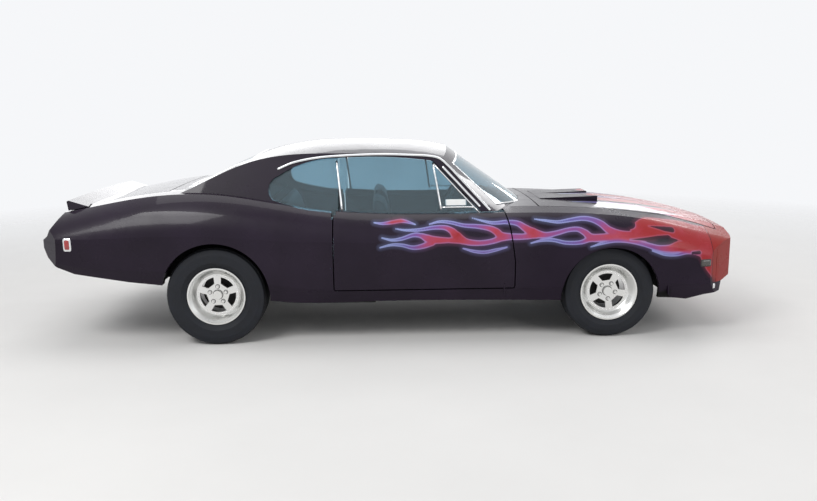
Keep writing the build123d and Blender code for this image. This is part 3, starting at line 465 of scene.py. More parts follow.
WHEELS = []
for place in ("front", "rear"):
    for side, label in SIDES:
        low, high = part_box(f"tyre_{place}_{label}")
        centre = (low + high) / 2
        WHEELS.append((place, side, label, centre))
        rubber = tyre_rubber(f"tyre_rubber_{place}_{label}", centre, (high.z - low.z) / 2,
                             (high.y - low.y) / 2)
        dress(nodes[f"tyre_{place}_{label}"], rubber)


# Helpers that make and place pieces

def make_mesh(name, points, faces, body, material, smooth=True):
    """A mesh piece that rides on a body."""
    data = bpy.data.meshes.new(name)
    data.from_pydata(points, [], faces)
    data.update()
    thing = bpy.data.objects.new(name, data)
    bpy.context.scene.collection.objects.link(thing)
    data.materials.append(material)
    if smooth:
        data.shade_smooth()
    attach(thing, body)
    return thing


def face_outward(thing):
    """Turn every face of a closed piece outward."""
    mesh = bmesh.new()
    mesh.from_mesh(thing.data)
    bmesh.ops.recalc_face_normals(mesh, faces=mesh.faces)
    mesh.to_mesh(thing.data)
    mesh.free()


CAST_REACH = 3.0
TREES = {}


def tree(name):
    """Search tree of a CAD node's mesh."""
    if name not in TREES:
        data = nodes[name].data
        TREES[name] = BVHTree.FromPolygons([v.co for v in data.vertices],
                                           [p.vertices for p in data.polygons])
    return TREES[name]


def cast(names, start, direction):
    """Nearest hit on some CAD nodes: point, normal, node name and distance."""
    best = None
    for name in names:
        point, normal, _, distance = tree(name).ray_cast(start, direction, CAST_REACH)
        if point is not None and (best is None or distance < best[3]):
            best = (point, normal, name, distance)
    return best


def for_side(names, label):
    """Names of CAD nodes with the side's own name filled in."""
    return [name.format(label) for name in names]


def sweep(name, path, profile, body, material, closed=False):
    """A profile of (out, across) points swept along a path of (point, normal) pairs."""
    points, faces = [], []
    count, width = len(path), len(profile)
    for i, (place, normal) in enumerate(path):
        before = path[i - 1][0] if (i or closed) else place
        after = path[(i + 1) % count][0] if (i < count - 1 or closed) else place
        along = (after - before).normalized()
        out = (normal - along * normal.dot(along)).normalized()
        side = along.cross(out)
        points += [place + out * a + side * b for a, b in profile]
    for i in range(count if closed else count - 1):
        for j in range(width):
            a, b = i * width + j, i * width + (j + 1) % width
            c, d = ((i + 1) % count) * width + (j + 1) % width, ((i + 1) % count) * width + j
            faces.append((a, b, c, d))
    if not closed:
        faces.append(tuple(range(width))[::-1])
        faces.append(tuple((count - 1) * width + j for j in range(width)))
    return make_mesh(name, points, faces, body, material)


CURVE_STEPS = 24  # between two points, before a curve is divided evenly


def smooth_line(points, count):
    """A smooth curve through some points, evenly divided."""
    p = np.array(points, float)
    ends = np.vstack([2 * p[0] - p[1], p, 2 * p[-1] - p[-2]])
    spans = []
    for i in range(1, len(ends) - 2):
        t = np.linspace(0, 1, CURVE_STEPS, endpoint=False)[:, None]
        a, b, c, d = ends[i - 1:i + 3]
        spans.append(0.5 * (2 * b + (c - a) * t + (2 * a - 5 * b + 4 * c - d) * t ** 2
                            + (3 * b - a - 3 * c + d) * t ** 3))
    fine = np.vstack([*spans, p[-1:]])
    run = np.concatenate([[0], np.cumsum(np.linalg.norm(np.diff(fine, axis=0), axis=1))])
    want = np.linspace(0, run[-1], count)
    return np.stack([np.interp(want, run, fine[:, k]) for k in range(fine.shape[1])], axis=1)


# Flames on both flanks and the hood: tongues as strokes of changing width and heat

# The flanks' strokes are drawn on the plane at FLANK_Y as the camera sees it, looking a little
# down: what lies inward of that plane shows higher by VIEW_TILT times its depth
VIEW_TILT = 0.185
FLANK_Y = 0.93
TONGUES = (
    # name, then x, height, half width in millimetres and heat along the stroke
    ("nose_stream", ((2330, 700, 120, 1), (2196, 739, 101, 1), (2085, 791, 79, 1),
                     (1954, 821, 65, 1), (1810, 831, 65, 1), (1725, 803, 50, 0.97))),
    ("upper_lick", ((1812, 780, 50, 1), (1698, 760, 36, 0.95), (1597, 772, 30, 0.85),
                    (1517, 806, 26, 0.7), (1466, 853, 23, 0.5), (1407, 884, 18, 0.35),
                    (1336, 896, 15, 0.25), (1243, 885, 12, 0.15), (1151, 872, 9, 0.08),
                    (1058, 884, 6, 0.03), (987, 895, 2, 0))),
    ("middle_lick", ((1699, 753, 32, 0.95), (1584, 758, 29, 0.88), (1469, 753, 26, 0.8),
                     (1383, 754, 27, 0.75), (1339, 791, 22, 0.65), (1288, 816, 16, 0.5),
                     (1217, 812, 14, 0.45), (1132, 790, 16, 0.5), (1047, 777, 20, 0.65),
                     (961, 799, 32, 0.9), (910, 832, 24, 0.75), (860, 865, 18, 0.45),
                     (782, 876, 13, 0.25), (690, 871, 10, 0.12), (612, 887, 6, 0.05),
                     (541, 908, 2, 0))),
    ("middle_return", ((1369, 743, 17, 0.7), (1298, 720, 12, 0.35), (1198, 720, 11, 0.2),
                       (1105, 740, 10, 0.1), (1019, 737, 6, 0.04), (948, 720, 2, 0))),
    ("door_upper", ((982, 778, 21, 0.9), (897, 768, 19, 0.6), (812, 769, 21, 0.55),
                    (740, 774, 28, 0.8), (704, 807, 24, 0.85), (655, 832, 18, 0.7),
                    (569, 847, 14, 0.45), (470, 856, 11, 0.25), (378, 879, 10, 0.12),
                    (301, 885, 7, 0.05), (230, 868, 2, 0))),
    ("door_lower", ((755, 766, 21, 0.75), (670, 737, 17, 0.6), (577, 726, 17, 0.65),
                    (485, 738, 21, 0.8), (421, 778, 31, 1), (385, 818, 21, 0.85),
                    (336, 841, 15, 0.6), (258, 842, 12, 0.35), (159, 828, 9, 0.15),
                    (60, 826, 6, 0.05), (-10, 837, 2, 0))),
    ("door_tail", ((456, 746, 21, 0.95), (357, 749, 17, 0.85), (272, 752, 24, 0.85),
                   (215, 763, 26, 0.8), (166, 785, 15, 0.55), (109, 789, 12, 0.35),
                   (31, 765, 10, 0.18), (-39, 756, 7, 0.06), (-110, 772, 2, 0))),
    ("door_foot", ((243, 734, 21, 0.85), (180, 710, 16, 0.6), (109, 700, 12, 0.35),
                   (31, 718, 9, 0.15), (-47, 721, 6, 0.05), (-125, 703, 2, 0))),
    ("door_wisp", ((-164, 884, 2, 0), (-108, 877, 7, 0.3), (-38, 885, 12, 0.9), (26, 895, 13, 0.9),
                   (75, 886, 8, 0.5), (128, 867, 2, 0))),
    ("door_under", ((464, 689, 2, 0.2), (542, 667, 8, 0.25), (620, 660, 9, 0.3),
                    (699, 675, 8, 0.25), (777, 693, 2, 0.2))),
    ("low_stream", ((2340, 610, 60, 1), (2209, 651, 47, 1), (2121, 671, 43, 1), (2034, 679, 40, 1),
                    (1955, 666, 26, 0.85), (1868, 671, 19, 0.6), (1766, 700, 15, 0.4),
                    (1657, 725, 14, 0.28), (1556, 729, 11, 0.18), (1463, 712, 8, 0.08),
                    (1378, 687, 2, 0))),
    ("low_wisp", ((2340, 590, 40, 1), (2254, 621, 36, 1), (2166, 640, 16, 0.7),
                  (2086, 638, 12, 0.4), (2008, 621, 9, 0.15), (1921, 623, 7, 0.06),
                  (1826, 651, 2, 0))),
    ("nose_corner", ((2400, 500, 110, 1), (2320, 560, 90, 1), (2250, 610, 55, 1))),
)
POCKETS = (
    # strokes of bare paint inside the tongues
    ("pocket_high", ((1680, 850, 40), (1623, 840, 40), (1565, 867, 22), (1500, 895, 7))),
    ("pocket_mid", ((1991, 804, 24), (1933, 812, 21), (1875, 823, 12), (1817, 833, 4))),
    ("pocket_low", ((1944, 736, 32), (1865, 739, 24), (1771, 737, 14), (1664, 736, 4))),
    ("pocket_nose", ((2181, 633, 17), (2130, 631, 13))),
)
HOOD_TONGUES = (
    # name, then x, distance from the middle, half width and heat, mirrored on the hood's other half
    ("front_band", ((2420, 0, 110, 1), (2330, 200, 110, 1), (2330, 420, 110, 1),
                    (2300, 560, 110, 1))),
    ("middle", ((2320, 0, 120, 1), (2120, 0, 80, 1), (1950, 0, 55, 0.9), (1800, 0, 40, 0.7),
                (1640, 0, 26, 0.4), (1480, 0, 14, 0.2), (1340, 0, 3, 0))),
    ("scoop", ((2300, 200, 110, 1), (2080, 190, 90, 1), (1880, 180, 85, 1), (1700, 175, 80, 1),
               (1600, 175, 74, 0.95))),
    ("outer", ((2300, 430, 110, 1), (2120, 420, 70, 1), (1960, 440, 48, 0.85),
               (1820, 410, 40, 0.65), (1660, 370, 28, 0.4), (1500, 380, 18, 0.2),
               (1360, 400, 3, 0))),
    ("edge", ((2260, 580, 80, 1), (2120, 590, 45, 0.9), (1980, 560, 30, 0.6), (1820, 545, 22, 0.35),
              (1660, 560, 14, 0.15), (1520, 555, 3, 0))),
)

STROKE_POINTS = 90
STROKE_BLEND = 0.012  # over which two strokes flow into each other


def stroke_distance(u, v, stroke):
    """How far inside a stroke each point lies, in metres, and the stroke's heat there."""
    line = smooth_line([p[:2] for p in stroke], STROKE_POINTS) / 1000
    run = np.linspace(0, 1, STROKE_POINTS)
    steps = [math.dist(a[:2], b[:2]) for a, b in zip(stroke, stroke[1:])]
    knots = np.concatenate([[0], np.cumsum(steps)])
    knots /= knots[-1]
    width = np.interp(run, knots, [p[2] for p in stroke]) / 1000
    heat = np.interp(run, knots, [p[3] if len(p) > 3 else 1 for p in stroke])
    gap = np.hypot(u[:, None] - line[None, :, 0], v[:, None] - line[None, :, 1])
    inside = width[None] - gap
    best = inside.argmax(axis=1)
    return inside[np.arange(len(u)), best], heat[best]


def flame_field(u, v, tongues, pockets=()):
    """Signed distance inside the flames and their heat at each point."""
    inside = np.full(len(u), -1.0)
    weight = np.zeros(len(u))
    heat = np.zeros(len(u))
    for _, stroke in tongues:
        near, warm = stroke_distance(u, v, stroke)
        blend = np.clip(0.5 + 0.5 * (near - inside) / STROKE_BLEND, 0, 1)
        inside = inside * (1 - blend) + near * blend + STROKE_BLEND * blend * (1 - blend)
        share = np.exp(np.clip(near / STROKE_BLEND, -30, 8))
        heat += warm * share
        weight += share
    for _, stroke in pockets:
        near, _ = stroke_distance(u, v, stroke)
        inside = np.minimum(inside, -near)
    return inside, heat / np.maximum(weight, 1e-9)


DECAL_RISE = 0.0008
DECAL_MARGIN = -0.032  # distance inside the flames down to which the skin reaches


def decal(rows, columns, hits, field):
    """Skins over the CAD surface round the flames, one for each node that the rays hit."""
    inside, heat = field
    groups = {}
    for i in range(rows - 1):
        for j in range(columns - 1):
            a = i * columns + j
            corners = (a, a + 1, a + columns + 1, a + columns)
            owners = {hits[c][2] if hits[c] else None for c in corners}
            near = max(inside[c] for c in corners) >= DECAL_MARGIN
            if near and len(owners) == 1 and None not in owners:
                groups.setdefault(owners.pop(), []).append(corners)
    for owner, faces in groups.items():
        used = sorted({c for face in faces for c in face})
        index = {c: k for k, c in enumerate(used)}
        points = [hits[c][0] + hits[c][1] * DECAL_RISE for c in used]
        thing = make_mesh(f"flames_{owner}", points, [tuple(index[c] for c in f) for f in faces],
                          nodes[owner]["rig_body"], paints["flame"])
        for attribute, values in (("flame_inside", inside), ("flame_heat", heat)):
            layer = thing.data.attributes.new(attribute, "FLOAT", "POINT")
            layer.data.foreach_set("value", np.array([values[c] for c in used], np.float32))


# The fan of rays in each section of a flank
FAN_ANGLES = np.radians(np.linspace(-38, 66, 102))
FAN_Y, FAN_Z, FAN_REACH = 0.55, 0.66, 1.2
FLANK_X = np.arange(-0.21, 2.2995, 0.0062)
FLANK_LOW = 0.42  # hits lower than this, further in or turned away are dropped
FLANK_IN = 0.60
FLANK_FACING = 0.35

# The door's front edge: heights and x, and where the columns beside it are moved to
DOOR_Z = (0.584, 0.826, 1.0)
DOOR_X = (0.843, 0.811, 0.764)
PROBE_X = 0.9
SEAM_STEPS = np.array((-0.0150, -0.0084, 0.0004, 0.0066))


def flank_flames(side, label):
    """Flames on one flank, cast onto door and fender."""
    names = [f"door_{label}", f"fender_{label}"]
    hits, u, v = [], [], []
    for angle in FAN_ANGLES:
        out = Vector((0, side * math.cos(angle), math.sin(angle)))
        row_x = FLANK_X.copy()
        probe = cast(names, Vector((PROBE_X, side * FAN_Y, FAN_Z)) + out * FAN_REACH, -out)
        if probe:
            edge = float(np.interp(probe[0].z, DOOR_Z, DOOR_X))
            k = int(np.argmin(np.abs(row_x - edge)))
            row_x[k - 2:k + 2] = edge + SEAM_STEPS
        for x in row_x:
            start = Vector((x, side * FAN_Y, FAN_Z)) + out * FAN_REACH
            hit = cast(names, start, -out)
            if hit and (hit[0].z < FLANK_LOW or abs(hit[0].y) < FLANK_IN
                        or hit[1].dot(out) < FLANK_FACING):
                hit = None
            hits.append(hit)
            place = hit[0] if hit else start
            u.append(place.x)
            v.append(place.z + (FLANK_Y - abs(place.y)) * VIEW_TILT)
    field = flame_field(np.array(u), np.array(v), TONGUES, POCKETS)
    decal(len(FAN_ANGLES), len(FLANK_X), hits, field)


ABOVE = 2.0  # height that rays start from above the car
DOWN = Vector((0, 0, -1))
HOOD_X = np.arange(1.30, 2.391, 0.0085)
HOOD_Y = np.arange(-0.628, 0.6285, 0.0085)


def hood_flames():
    """Flames on the hood, cast from above."""
    places = [(x, y) for y in HOOD_Y for x in HOOD_X]
    hits = [cast(["hood"], Vector((x, y, ABOVE)), DOWN) for x, y in places]
    u, v = np.abs(np.array(places)).T
    decal(len(HOOD_Y), len(HOOD_X), hits, flame_field(u, v, HOOD_TONGUES))


for side, label in SIDES:
    flank_flames(side, label)
hood_flames()


# Bright trim

def side_hit(names, x, z, side):
    """Point and outward normal on a side of the car at a place in the side view, or beside it."""
    for shift in (0.0, 0.002):
        hit = cast(names, Vector((x + shift, side * 1.5, z + shift)), Vector((0, -side, 0)))
        if hit:
            return hit[0], hit[1]
    return None


def strip_profile(width, height):
    """Cross-section of a trim strip that lies on a surface."""
    half = width / 2
    return [(0.0004, -half), (height * 0.8, -half * 0.8), (height, 0.0),
            (height * 0.8, half * 0.8), (0.0004, half)]


# Lines in the side view: x and height in millimetres
DRIP_RAIL = ((-860, 1243), (-740, 1290), (-560, 1322), (-330, 1336), (-100, 1340), (110, 1333),
             (240, 1325), (318, 1306), (384, 1250), (440, 1190), (496, 1130), (552, 1070),
             (603, 1015), (650, 964), (674, 938))
VENT_BAR = ((268, 1276), (294, 1115), (320, 946))
VENT_FRONT = ((268, 1274), (444, 1086), (604, 914))
VENT_FOOT = ((322, 962), (450, 963), (566, 962))
QUARTER_BAR = ((-434, 1298), (-414, 1125), (-396, 946))
PILLAR_LINE = ((337, 1250), (393, 1190), (450, 1130), (505, 1070), (557, 1015), (602, 966))
TRIMS = (
    # name, line, points along it, CAD nodes below it, width, height, body
    ("drip_rail", DRIP_RAIL, 110, ("roof", "quarter_{}"), 0.018, 0.011, "body"),
    ("pillar_moulding", PILLAR_LINE, 40, ("roof",), 0.017, 0.006, "body"),
    ("vent_bar", VENT_BAR, 8, ("door_glass_{}", "quarter_glass"), 0.014, 0.008, "door_{}"),
    ("vent_front", VENT_FRONT, 8, ("door_glass_{}", "quarter_glass"), 0.012, 0.007, "door_{}"),
    ("vent_foot", VENT_FOOT, 8, ("door_glass_{}", "quarter_glass"), 0.010, 0.005, "door_{}"),
    ("quarter_bar", QUARTER_BAR, 8, ("door_glass_{}", "quarter_glass"), 0.015, 0.009, "door_{}"),
)
for side, label in SIDES:
    for name, line, count, names, width, height, body in TRIMS:
        hits = [side_hit(for_side(names, label), x, z, side)
                for x, z in smooth_line(line, count) / 1000]
        sweep(f"{name}_{label}", [hit for hit in hits if hit], strip_profile(width, height),
              body.format(label), paints["chrome"])


# Lines round the windows, in millimetres
SCREEN_EDGE = (
    # sides of the windscreen: ends and middle, each as distance from the middle and height
    ((-686, 974), (0, 946), (686, 974)), ((686, 974), (636, 1119), (586, 1266)),
    ((586, 1266), (0, 1315), (-586, 1266)), ((-586, 1266), (-636, 1119), (-686, 974)),
)
BACK_EDGE = (
    # sides of the rear window: ends and middle, each as distance from the middle and x
    ((-512, -1066), (0, -1031), (512, -1066)), ((512, -1066), (552, -1292), (592, -1519)),
    ((592, -1519), (0, -1579), (-592, -1519)), ((-592, -1519), (-552, -1292), (-512, -1066)),
)
EDGE_POINTS = 24  # on each side of a window


def ring_line(sides):
    """Points round a window: each side runs through its two ends and its middle."""
    points = []
    for start, middle, end in sides:
        for t in np.linspace(0, 1, EDGE_POINTS, endpoint=False):
            points.append([(1 - t) * (1 - 2 * t) * a + 4 * t * (1 - t) * b + t * (2 * t - 1) * c
                           for a, b, c in zip(start, middle, end)])
    return points


def window_trim(name, node, starts, direction):
    """A closed strip of trim, cast onto a window."""
    hits = [cast([node], start, direction) for start in starts]
    sweep(name, [hit[:2] for hit in hits if hit], strip_profile(0.016, 0.007), "body",
          paints["chrome"], closed=True)


window_trim("windscreen_trim", "windscreen",
            [Vector((2.0, y / 1000, z / 1000)) for y, z in ring_line(SCREEN_EDGE)],
            Vector((-1, 0, 0)))
window_trim("rear_window_trim", "rear_window",
            [Vector((x / 1000, y / 1000, ABOVE)) for y, x in ring_line(BACK_EDGE)], DOWN)


# Lenses, brackets and a label that follow the surface below them

PAD_AROUND = 48
PAD_RINGS = 7


def pad(name, x, z, half_width, half_height, thickness, names, side, body, material,
        squareness=6):
    """A low domed pad with rounded corners, cast onto some CAD nodes in the side view."""
    points, faces = [], []
    for k in range(PAD_RINGS + 1):
        share = k / PAD_RINGS
        for j in range(PAD_AROUND if k else 1):
            a = 2 * math.pi * j / PAD_AROUND
            px, pz = (size * math.copysign(abs(f(a)) ** (2 / squareness), f(a)) * share
                      for size, f in ((half_width, math.cos), (half_height, math.sin)))
            place, normal = side_hit(names, x + px, z + pz, side)
            rise = thickness * (1 - share ** 6) if k < PAD_RINGS else -0.0005
            points.append(place + normal * rise)
    for j in range(PAD_AROUND):
        n = (j + 1) % PAD_AROUND
        faces.append((0, 1 + j, 1 + n))
        for k in range(PAD_RINGS - 1):
            a, b = 1 + k * PAD_AROUND, 1 + (k + 1) * PAD_AROUND
            faces.append((a + j, b + j, b + n, a + n))
    return make_mesh(name, points, faces, body, material)


PADS = (
    # name, x, height, half width, half height, thickness, CAD nodes below it, paint
    ("rear_marker_rim", -2.316, 0.752, 0.029, 0.048, 0.004, ("quarter_{}", "rear_bumper"),
     "chrome"),
    ("rear_marker", -2.316, 0.752, 0.020, 0.038, 0.008, ("quarter_{}", "rear_bumper"),
     "lamp_red"),
    ("front_marker_rim", 2.240, 0.545, 0.046, 0.030, 0.003, ("fender_{}", "nose_bumper"),
     "black"),
    ("front_marker", 2.240, 0.545, 0.039, 0.023, 0.007, ("fender_{}", "nose_bumper"),
     "lamp_smoke"),
    ("valance_bracket", 2.326, 0.362, 0.009, 0.019, 0.006, ("front_valance",), "chrome"),
)
for side, label in SIDES:
    for name, x, z, half_width, half_height, thickness, names, paint in PADS:
        pad(f"{name}_{label}", x, z, half_width, half_height, thickness, for_side(names, label),
            side, "body", paints[paint])
pad("blank_label", 0.428, 0.997, 0.076, 0.022, 0.0008, ["door_glass_right"], -1, "door_right",
    paints["sticker"], squareness=20)


# Corners of the nose, and liners in the front wheelhouses

def solid_strip(name, outer, inner, body, material):
    """A closed piece between two grids of points with as many rows and columns."""
    rows, columns = len(outer), len(outer[0])
    points = [Vector(p) for grid in (outer, inner) for row in grid for p in row]
    shift = rows * columns
    faces = []
    for i in range(rows - 1):
        for j in range(columns - 1):
            a = i * columns + j
            b, c, d = a + 1, a + columns + 1, a + columns
            faces += [(a, b, c, d), (d + shift, c + shift, b + shift, a + shift)]
    rim = ([(0, j) for j in range(columns)] + [(i, columns - 1) for i in range(1, rows)]
           + [(rows - 1, j) for j in range(columns - 2, -1, -1)]
           + [(i, 0) for i in range(rows - 2, 0, -1)])
    for (i, j), (k, n) in zip(rim, rim[1:] + rim[:1]):
        a, b = i * columns + j, k * columns + n
        faces.append((b, a, a + shift, b + shift))
    thing = make_mesh(name, points, faces, body, material, smooth=False)
    face_outward(thing)
    return thing


def block(name, low, high, material, bevel):
    """A box with eased edges, fixed to the car's body."""
    mesh = bmesh.new()
    bmesh.ops.create_cube(mesh, size=1.0)
    for vertex in mesh.verts:
        vertex.co = [(c + 0.5) * (b - a) + a for c, a, b in zip(vertex.co, low, high)]
    bmesh.ops.bevel(mesh, geom=mesh.edges[:], offset=bevel, segments=2, affect="EDGES")
    thing = make_mesh(name, [], [], "body", material, smooth=False)
    mesh.to_mesh(thing.data)
    mesh.free()
    return thing


# x, distance from the middle, lower end and upper end of each upright line of the corner
NOSE_CORNER = ((2.343, 0.8103, 0.389, 0.640), (2.356, 0.8002, 0.389, 0.650),
               (2.369, 0.7900, 0.389, 0.655), (2.387, 0.7747, 0.389, 0.660),
               (2.404, 0.7603, 0.390, 0.664), (2.425, 0.7425, 0.398, 0.668),
               (2.447, 0.7239, 0.406, 0.670))
LINERS = (("front_liner", 1.665, 1.970), ("rear_liner", 1.115, 1.430))  # name, from x, to x
LINER_Y = (0.449, 0.454)
LINER_Z = (0.36, 0.53)


def corner_grid(side, ahead, out):
    """Points on a nose corner, moved ahead and outward."""
    return [[(x + ahead, side * (y + out), low + (high - low) * t) for t in np.linspace(0, 1, 9)]
            for x, y, low, high in NOSE_CORNER]


for side, label in SIDES:
    solid_strip(f"nose_corner_{label}", corner_grid(side, 0.0006, 0.0008),
                corner_grid(side, -0.0045, -0.006), "body", paints["nose"])
    low_y, high_y = sorted(side * y for y in LINER_Y)
    for name, low_x, high_x in LINERS:
        block(f"{name}_{label}", (low_x, low_y, LINER_Z[0]), (high_x, high_y, LINER_Z[1]),
              paints["under"], 0.001)


# Seats: crowned cushions with sewn channels

CUSHION_ROWS, CUSHION_COLUMNS = 40, 60
FACE_SHARE = 0.62  # of the thickness on the seating side
CROWN = 0.16
CHANNEL_DEPTH, CHANNEL_WIDTH = 0.007, 0.022  # metres, and a share of the half width
CHANNEL_END = 0.80  # shares of the half length and half width that the channels reach
CHANNEL_SPREAD = 0.75
SEAM_DEPTH, SEAM_WIDTH, SEAM_AT = 0.006, 0.016, 0.83


def sewn_depth(u, v, channels):
    """Depth of the channels and of the border seam at a place on the seating side."""
    inside = max(abs(u), abs(v) * 0.99)
    depth = SEAM_DEPTH * math.exp(-((inside - SEAM_AT) / SEAM_WIDTH) ** 2)
    if abs(u) < CHANNEL_END:
        for k in range(channels):
            place = ((k + 1) / (channels + 1) * 2 - 1) * CHANNEL_SPREAD
            depth += CHANNEL_DEPTH * math.exp(-((v - place) / CHANNEL_WIDTH) ** 2)
    return depth


def cushion(name, middle, forward, up, half_length, half_width, thickness, channels):
    """A padded cushion, crowned on its seating side, with sewn channels along its length."""
    forward, up = Vector(forward).normalized(), Vector(up).normalized()
    across = up.cross(forward).normalized()
    rows, columns = CUSHION_ROWS, CUSHION_COLUMNS
    points, faces, index = [], [], {}
    for level, rise in enumerate((thickness * FACE_SHARE, -thickness * (1 - FACE_SHARE))):
        for i in range(rows + 1):
            for j in range(columns + 1):
                if level and (i in (0, rows) or j in (0, columns)):
                    index[level, i, j] = index[0, i, j]
                    continue
                u, v = (math.sin(math.pi / 2 * (2 * k / n - 1))
                        for k, n in ((i, rows), (j, columns)))
                edge_u, edge_v = abs(u) ** 7, abs(v) ** 7
                height = rise * ((1 - edge_u) * (1 - edge_v)) ** 0.42
                if not level:
                    height *= 1 + CROWN * (1 - u * u) * (1 - v * v)
                    height -= sewn_depth(u, v, channels)
                pull = 1 - 0.025 * (1 - u * u) * edge_v - 0.02 * (1 - v * v) * edge_u
                index[level, i, j] = len(points)
                points.append(Vector(middle) + forward * (u * half_length * pull)
                              + across * (v * half_width * pull) + up * height)
        for i in range(rows):
            for j in range(columns):
                face = [index[level, *c] for c in ((i, j), (i + 1, j), (i + 1, j + 1), (i, j + 1))]
                faces.append(tuple(face if level else face[::-1]))
    thing = make_mesh(name, points, faces, "body", paints["vinyl"])
    face_outward(thing)
    return thing


SEAT_Y = 0.4
SEAT_BASE_HALF = 0.19
REAR_BASE_Y = (0.175, 0.585)
BASE_BEVEL = 0.01
for side, label in SIDES:
    y = side * SEAT_Y
    seat = cushion(f"front_cushion_{label}", (0.190, y, 0.490), (1, 0, 0.06), (-0.06, 0, 1),
                   0.262, 0.243, 0.125, 4)
    if side < 0:
        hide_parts("front_seats")
    cushion(f"front_back_{label}", (-0.110, y, 0.748), (-0.16, 0, 1), (1, 0, 0.16),
            0.255, 0.243, 0.115, 4)
    block(f"front_seat_base_{label}", (-0.03, y - SEAT_BASE_HALF, 0.3235),
          (0.385, y + SEAT_BASE_HALF, 0.452), paints["black"], BASE_BEVEL)
    low_y, high_y = sorted(side * y for y in REAR_BASE_Y)
    block(f"rear_seat_base_{label}", (-0.700, low_y, 0.3235), (-0.362, high_y, 0.470),
          paints["black"], BASE_BEVEL)
bench = cushion("rear_cushion", (-0.530, 0, 0.510), (1, 0, 0.05), (-0.05, 0, 1),
                0.192, 0.588, 0.095, 9)
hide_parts("rear_seat")
cushion("rear_back", (-0.822, 0, 0.742), (-0.32, 0, 1), (1, 0, 0.32), 0.240, 0.588, 0.105, 9)


# Wheel details: rivets round the star, and painted shadows round the nuts and the cap

RIVET_CIRCLE = 0.141
RIVETS = 30
RIVET_R = 0.0036
RIVET_START = 0.1  # radians
RIVET_SEGMENTS = 8
RIVET_RINGS = ((1.0, 0.0), (0.92, 0.45), (0.55, 0.85))  # radius and rise, in rivet radii
NUT_CIRCLE = 0.060
NUTS = 5
NUT_DEPTH = 0.004  # down to which a rim's high places are a nut
# Painted shadow: dark rings of black plastic round the cap and round each nut
CAP_SHADOW = (0.0335, 0.038)  # inner and outer radius
NUT_SHADOW = (0.0122, 0.0165)
SHADOW_POINTS = 20
SHADOW_RISE = 0.0006


def round_wheel(centre, radius, angle):
    """x and height of a place round a wheel's middle."""
    return centre.x + radius * math.cos(angle), centre.z + radius * math.sin(angle)


def rim_hit(rim, centre, side, x, z):
    """Point on a rim's outer face at a place in the side view."""
    return cast([rim], Vector((x, centre.y + side * 0.5, z)), Vector((0, -side, 0)))[0]


def dark_rings(name, rim, centre, side, spots, body):
    """Thin rings of painted shadow cast onto a rim, each at a place in the side view with two
    radii.
    """
    points, faces = [], []
    for x, z, inner, outer in spots:
        base = len(points)
        for radius in (inner, outer):
            for j in range(SHADOW_POINTS):
                a = 2 * math.pi * j / SHADOW_POINTS
                place = rim_hit(rim, centre, side, x + radius * math.cos(a),
                                z + radius * math.sin(a))
                points.append(place + Vector((0, side * SHADOW_RISE, 0)))
        for j in range(SHADOW_POINTS):
            a, b = base + j, base + (j + 1) % SHADOW_POINTS
            faces.append((a, b, b + SHADOW_POINTS, a + SHADOW_POINTS))
    return make_mesh(name, points, faces, body, paints["black"], smooth=False)


def rivets(name, centre, side, depth, body):
    """Small domed heads in a circle round a wheel's middle."""
    points, faces = [], []
    count = RIVET_SEGMENTS
    for i in range(RIVETS):
        x, z = round_wheel(centre, RIVET_CIRCLE, RIVET_START + 2 * math.pi * i / RIVETS)
        hub = Vector((x, depth, z))
        base = len(points)
        for grow, rise in RIVET_RINGS:
            for j in range(count):
                b = 2 * math.pi * j / count
                points.append(hub + Vector((RIVET_R * grow * math.cos(b), side * RIVET_R * rise,
                                            RIVET_R * grow * math.sin(b))))
        points.append(hub + Vector((0, side * RIVET_R, 0)))
        for level in range(2):
            low = base + level * count
            for j in range(count):
                k = (j + 1) % count
                faces.append((low + j, low + k, low + count + k, low + count + j))
        top = base + 2 * count
        for j in range(count):
            faces.append((top + j, top + (j + 1) % count, top + count))
    return make_mesh(name, points, faces, body, paints["chrome"])


for place, side, label, centre in WHEELS:
    rim, body = f"rim_{place}_{label}", f"wheel_{place}_{label}"
    depth = rim_hit(rim, centre, side, centre.x, centre.z + RIVET_CIRCLE).y
    rivets(f"rivets_{place}_{label}", centre, side, depth, body)
    turns = np.radians(np.arange(0, 360 / NUTS, 3))
    heights = np.array([side * rim_hit(rim, centre, side, *round_wheel(centre, NUT_CIRCLE, a)).y
                        for a in turns])
    high = turns[heights > heights.max() - NUT_DEPTH]
    first = float(np.angle(np.exp(1j * NUTS * high).mean())) / NUTS
    # painted shadow round the cap and each nut
    spots = [(centre.x, centre.z, *CAP_SHADOW)]
    for k in range(NUTS):
        x, z = round_wheel(centre, NUT_CIRCLE, first + 2 * math.pi * k / NUTS)
        spots.append((x, z, *NUT_SHADOW))
    dark_rings(f"nut_shadows_{place}_{label}", rim, centre, side, spots, body)


# Floor and light

FLOOR_HALF = 60
FLOOR_FADE = (4.0, 9.5)  # distances from the middle of the car


def floor_material():
    """Pale floor that fades into the backdrop far from the car."""
    m = surface("floor_pale", (0.74, 0.73, 0.71), 0.85, scale=0.8, spread=0.02, grain=0.0005,
                grain_scale=300.0)
    length = m.add("ShaderNodeVectorMath", operation="LENGTH")
    m.link(m.place, length.inputs[0])
    blend = m.add("ShaderNodeMixShader")
    m.link(m.span(length.outputs["Value"], *FLOOR_FADE), blend.inputs[0])
    m.link(m.shader.outputs[0], blend.inputs[1])
    m.link(m.add("ShaderNodeBsdfTransparent").outputs[0], blend.inputs[2])
    m.link(blend.outputs[0], m.tree.nodes["Material Output"].inputs["Surface"])
    return m.material


floor_data = bpy.data.meshes.new("floor")
floor_data.from_pydata([(-FLOOR_HALF, -FLOOR_HALF, 0), (FLOOR_HALF, -FLOOR_HALF, 0),
                        (FLOOR_HALF, FLOOR_HALF, 0), (-FLOOR_HALF, FLOOR_HALF, 0)], [],
                       [(0, 1, 2, 3)])
floor_data.materials.append(floor_material())
floor = bpy.data.objects.new("floor", floor_data)
bpy.context.scene.collection.objects.link(floor)

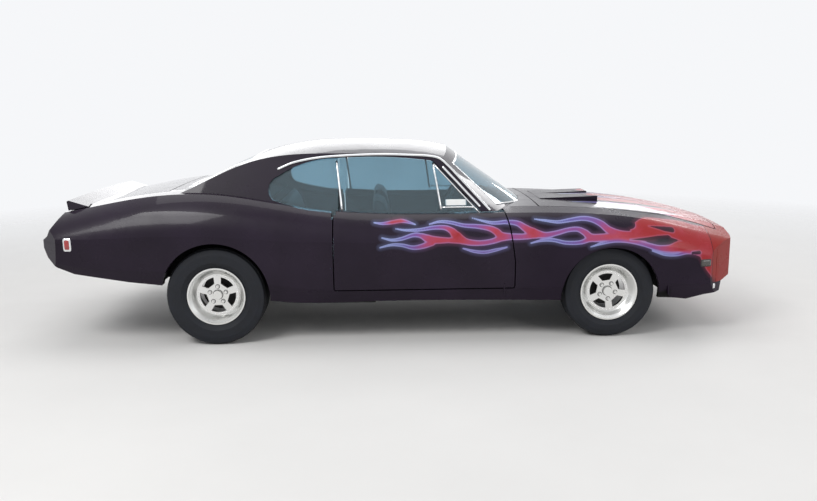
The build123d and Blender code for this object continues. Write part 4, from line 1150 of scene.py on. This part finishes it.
# The world lights the car dimly and looks pale to the camera, in reflections and through glass
world = bpy.data.worlds.new("world")
bpy.context.scene.world = world
world.use_nodes = True
tree_nodes = world.node_tree.nodes
links = world.node_tree.links
background = tree_nodes["Background"]
background.inputs["Color"].default_value = (0.93, 0.95, 1.0, 1)
background.inputs["Strength"].default_value = 0.42
pale = tree_nodes.new("ShaderNodeBackground")
pale.inputs["Color"].default_value = (0.92, 0.93, 0.95, 1)
pale.inputs["Strength"].default_value = 1.0
path_info = tree_nodes.new("ShaderNodeLightPath")
seen = path_info.outputs["Is Camera Ray"]
for other in ("Is Glossy Ray", "Is Transmission Ray"):
    either = tree_nodes.new("ShaderNodeMath")
    either.operation = "MAXIMUM"
    links.new(seen, either.inputs[0])
    links.new(path_info.outputs[other], either.inputs[1])
    seen = either.outputs[0]
choose = tree_nodes.new("ShaderNodeMixShader")
links.new(seen, choose.inputs[0])
links.new(background.outputs[0], choose.inputs[1])
links.new(pale.outputs[0], choose.inputs[2])
links.new(choose.outputs[0], tree_nodes["World Output"].inputs[0])

LAMPS = (
    # name, place, aim, width, height, power
    ("key", (-4.1, -5.3, 6.3), (0, 0, 0.5), 3.6, 3.0, 340),
    ("fill", (5.5, -5.0, 3.5), (0.5, 0, 0.5), 4.0, 3.0, 120),
    ("sky", (-2.75, 8.5, 4.2), (-0.6, 0, 1.0), 10.7, 4.0, 185),
    ("hood_band", (5.75, 8.8, 2.95), (1.7, -0.5, 0.9), 2.9, 0.5, 42),
    ("pillar_band", (6.2, 4.55, 5.75), (0.6, -0.7, 1.05), 2.4, 1.8, 105),
    ("top", (0.0, 0.5, 6.5), (0, 0, 0.0), 8.0, 4.0, 150),
)
for name, place, aim, width, height, power in LAMPS:
    data = bpy.data.lights.new(name, "AREA")
    data.shape = "RECTANGLE"
    data.size, data.size_y = width, height
    data.energy = power
    lamp = bpy.data.objects.new(name, data)
    lamp.location = place
    lamp.rotation_euler = (Vector(aim) - Vector(place)).to_track_quat("-Z", "Y").to_euler()
    bpy.context.scene.collection.objects.link(lamp)
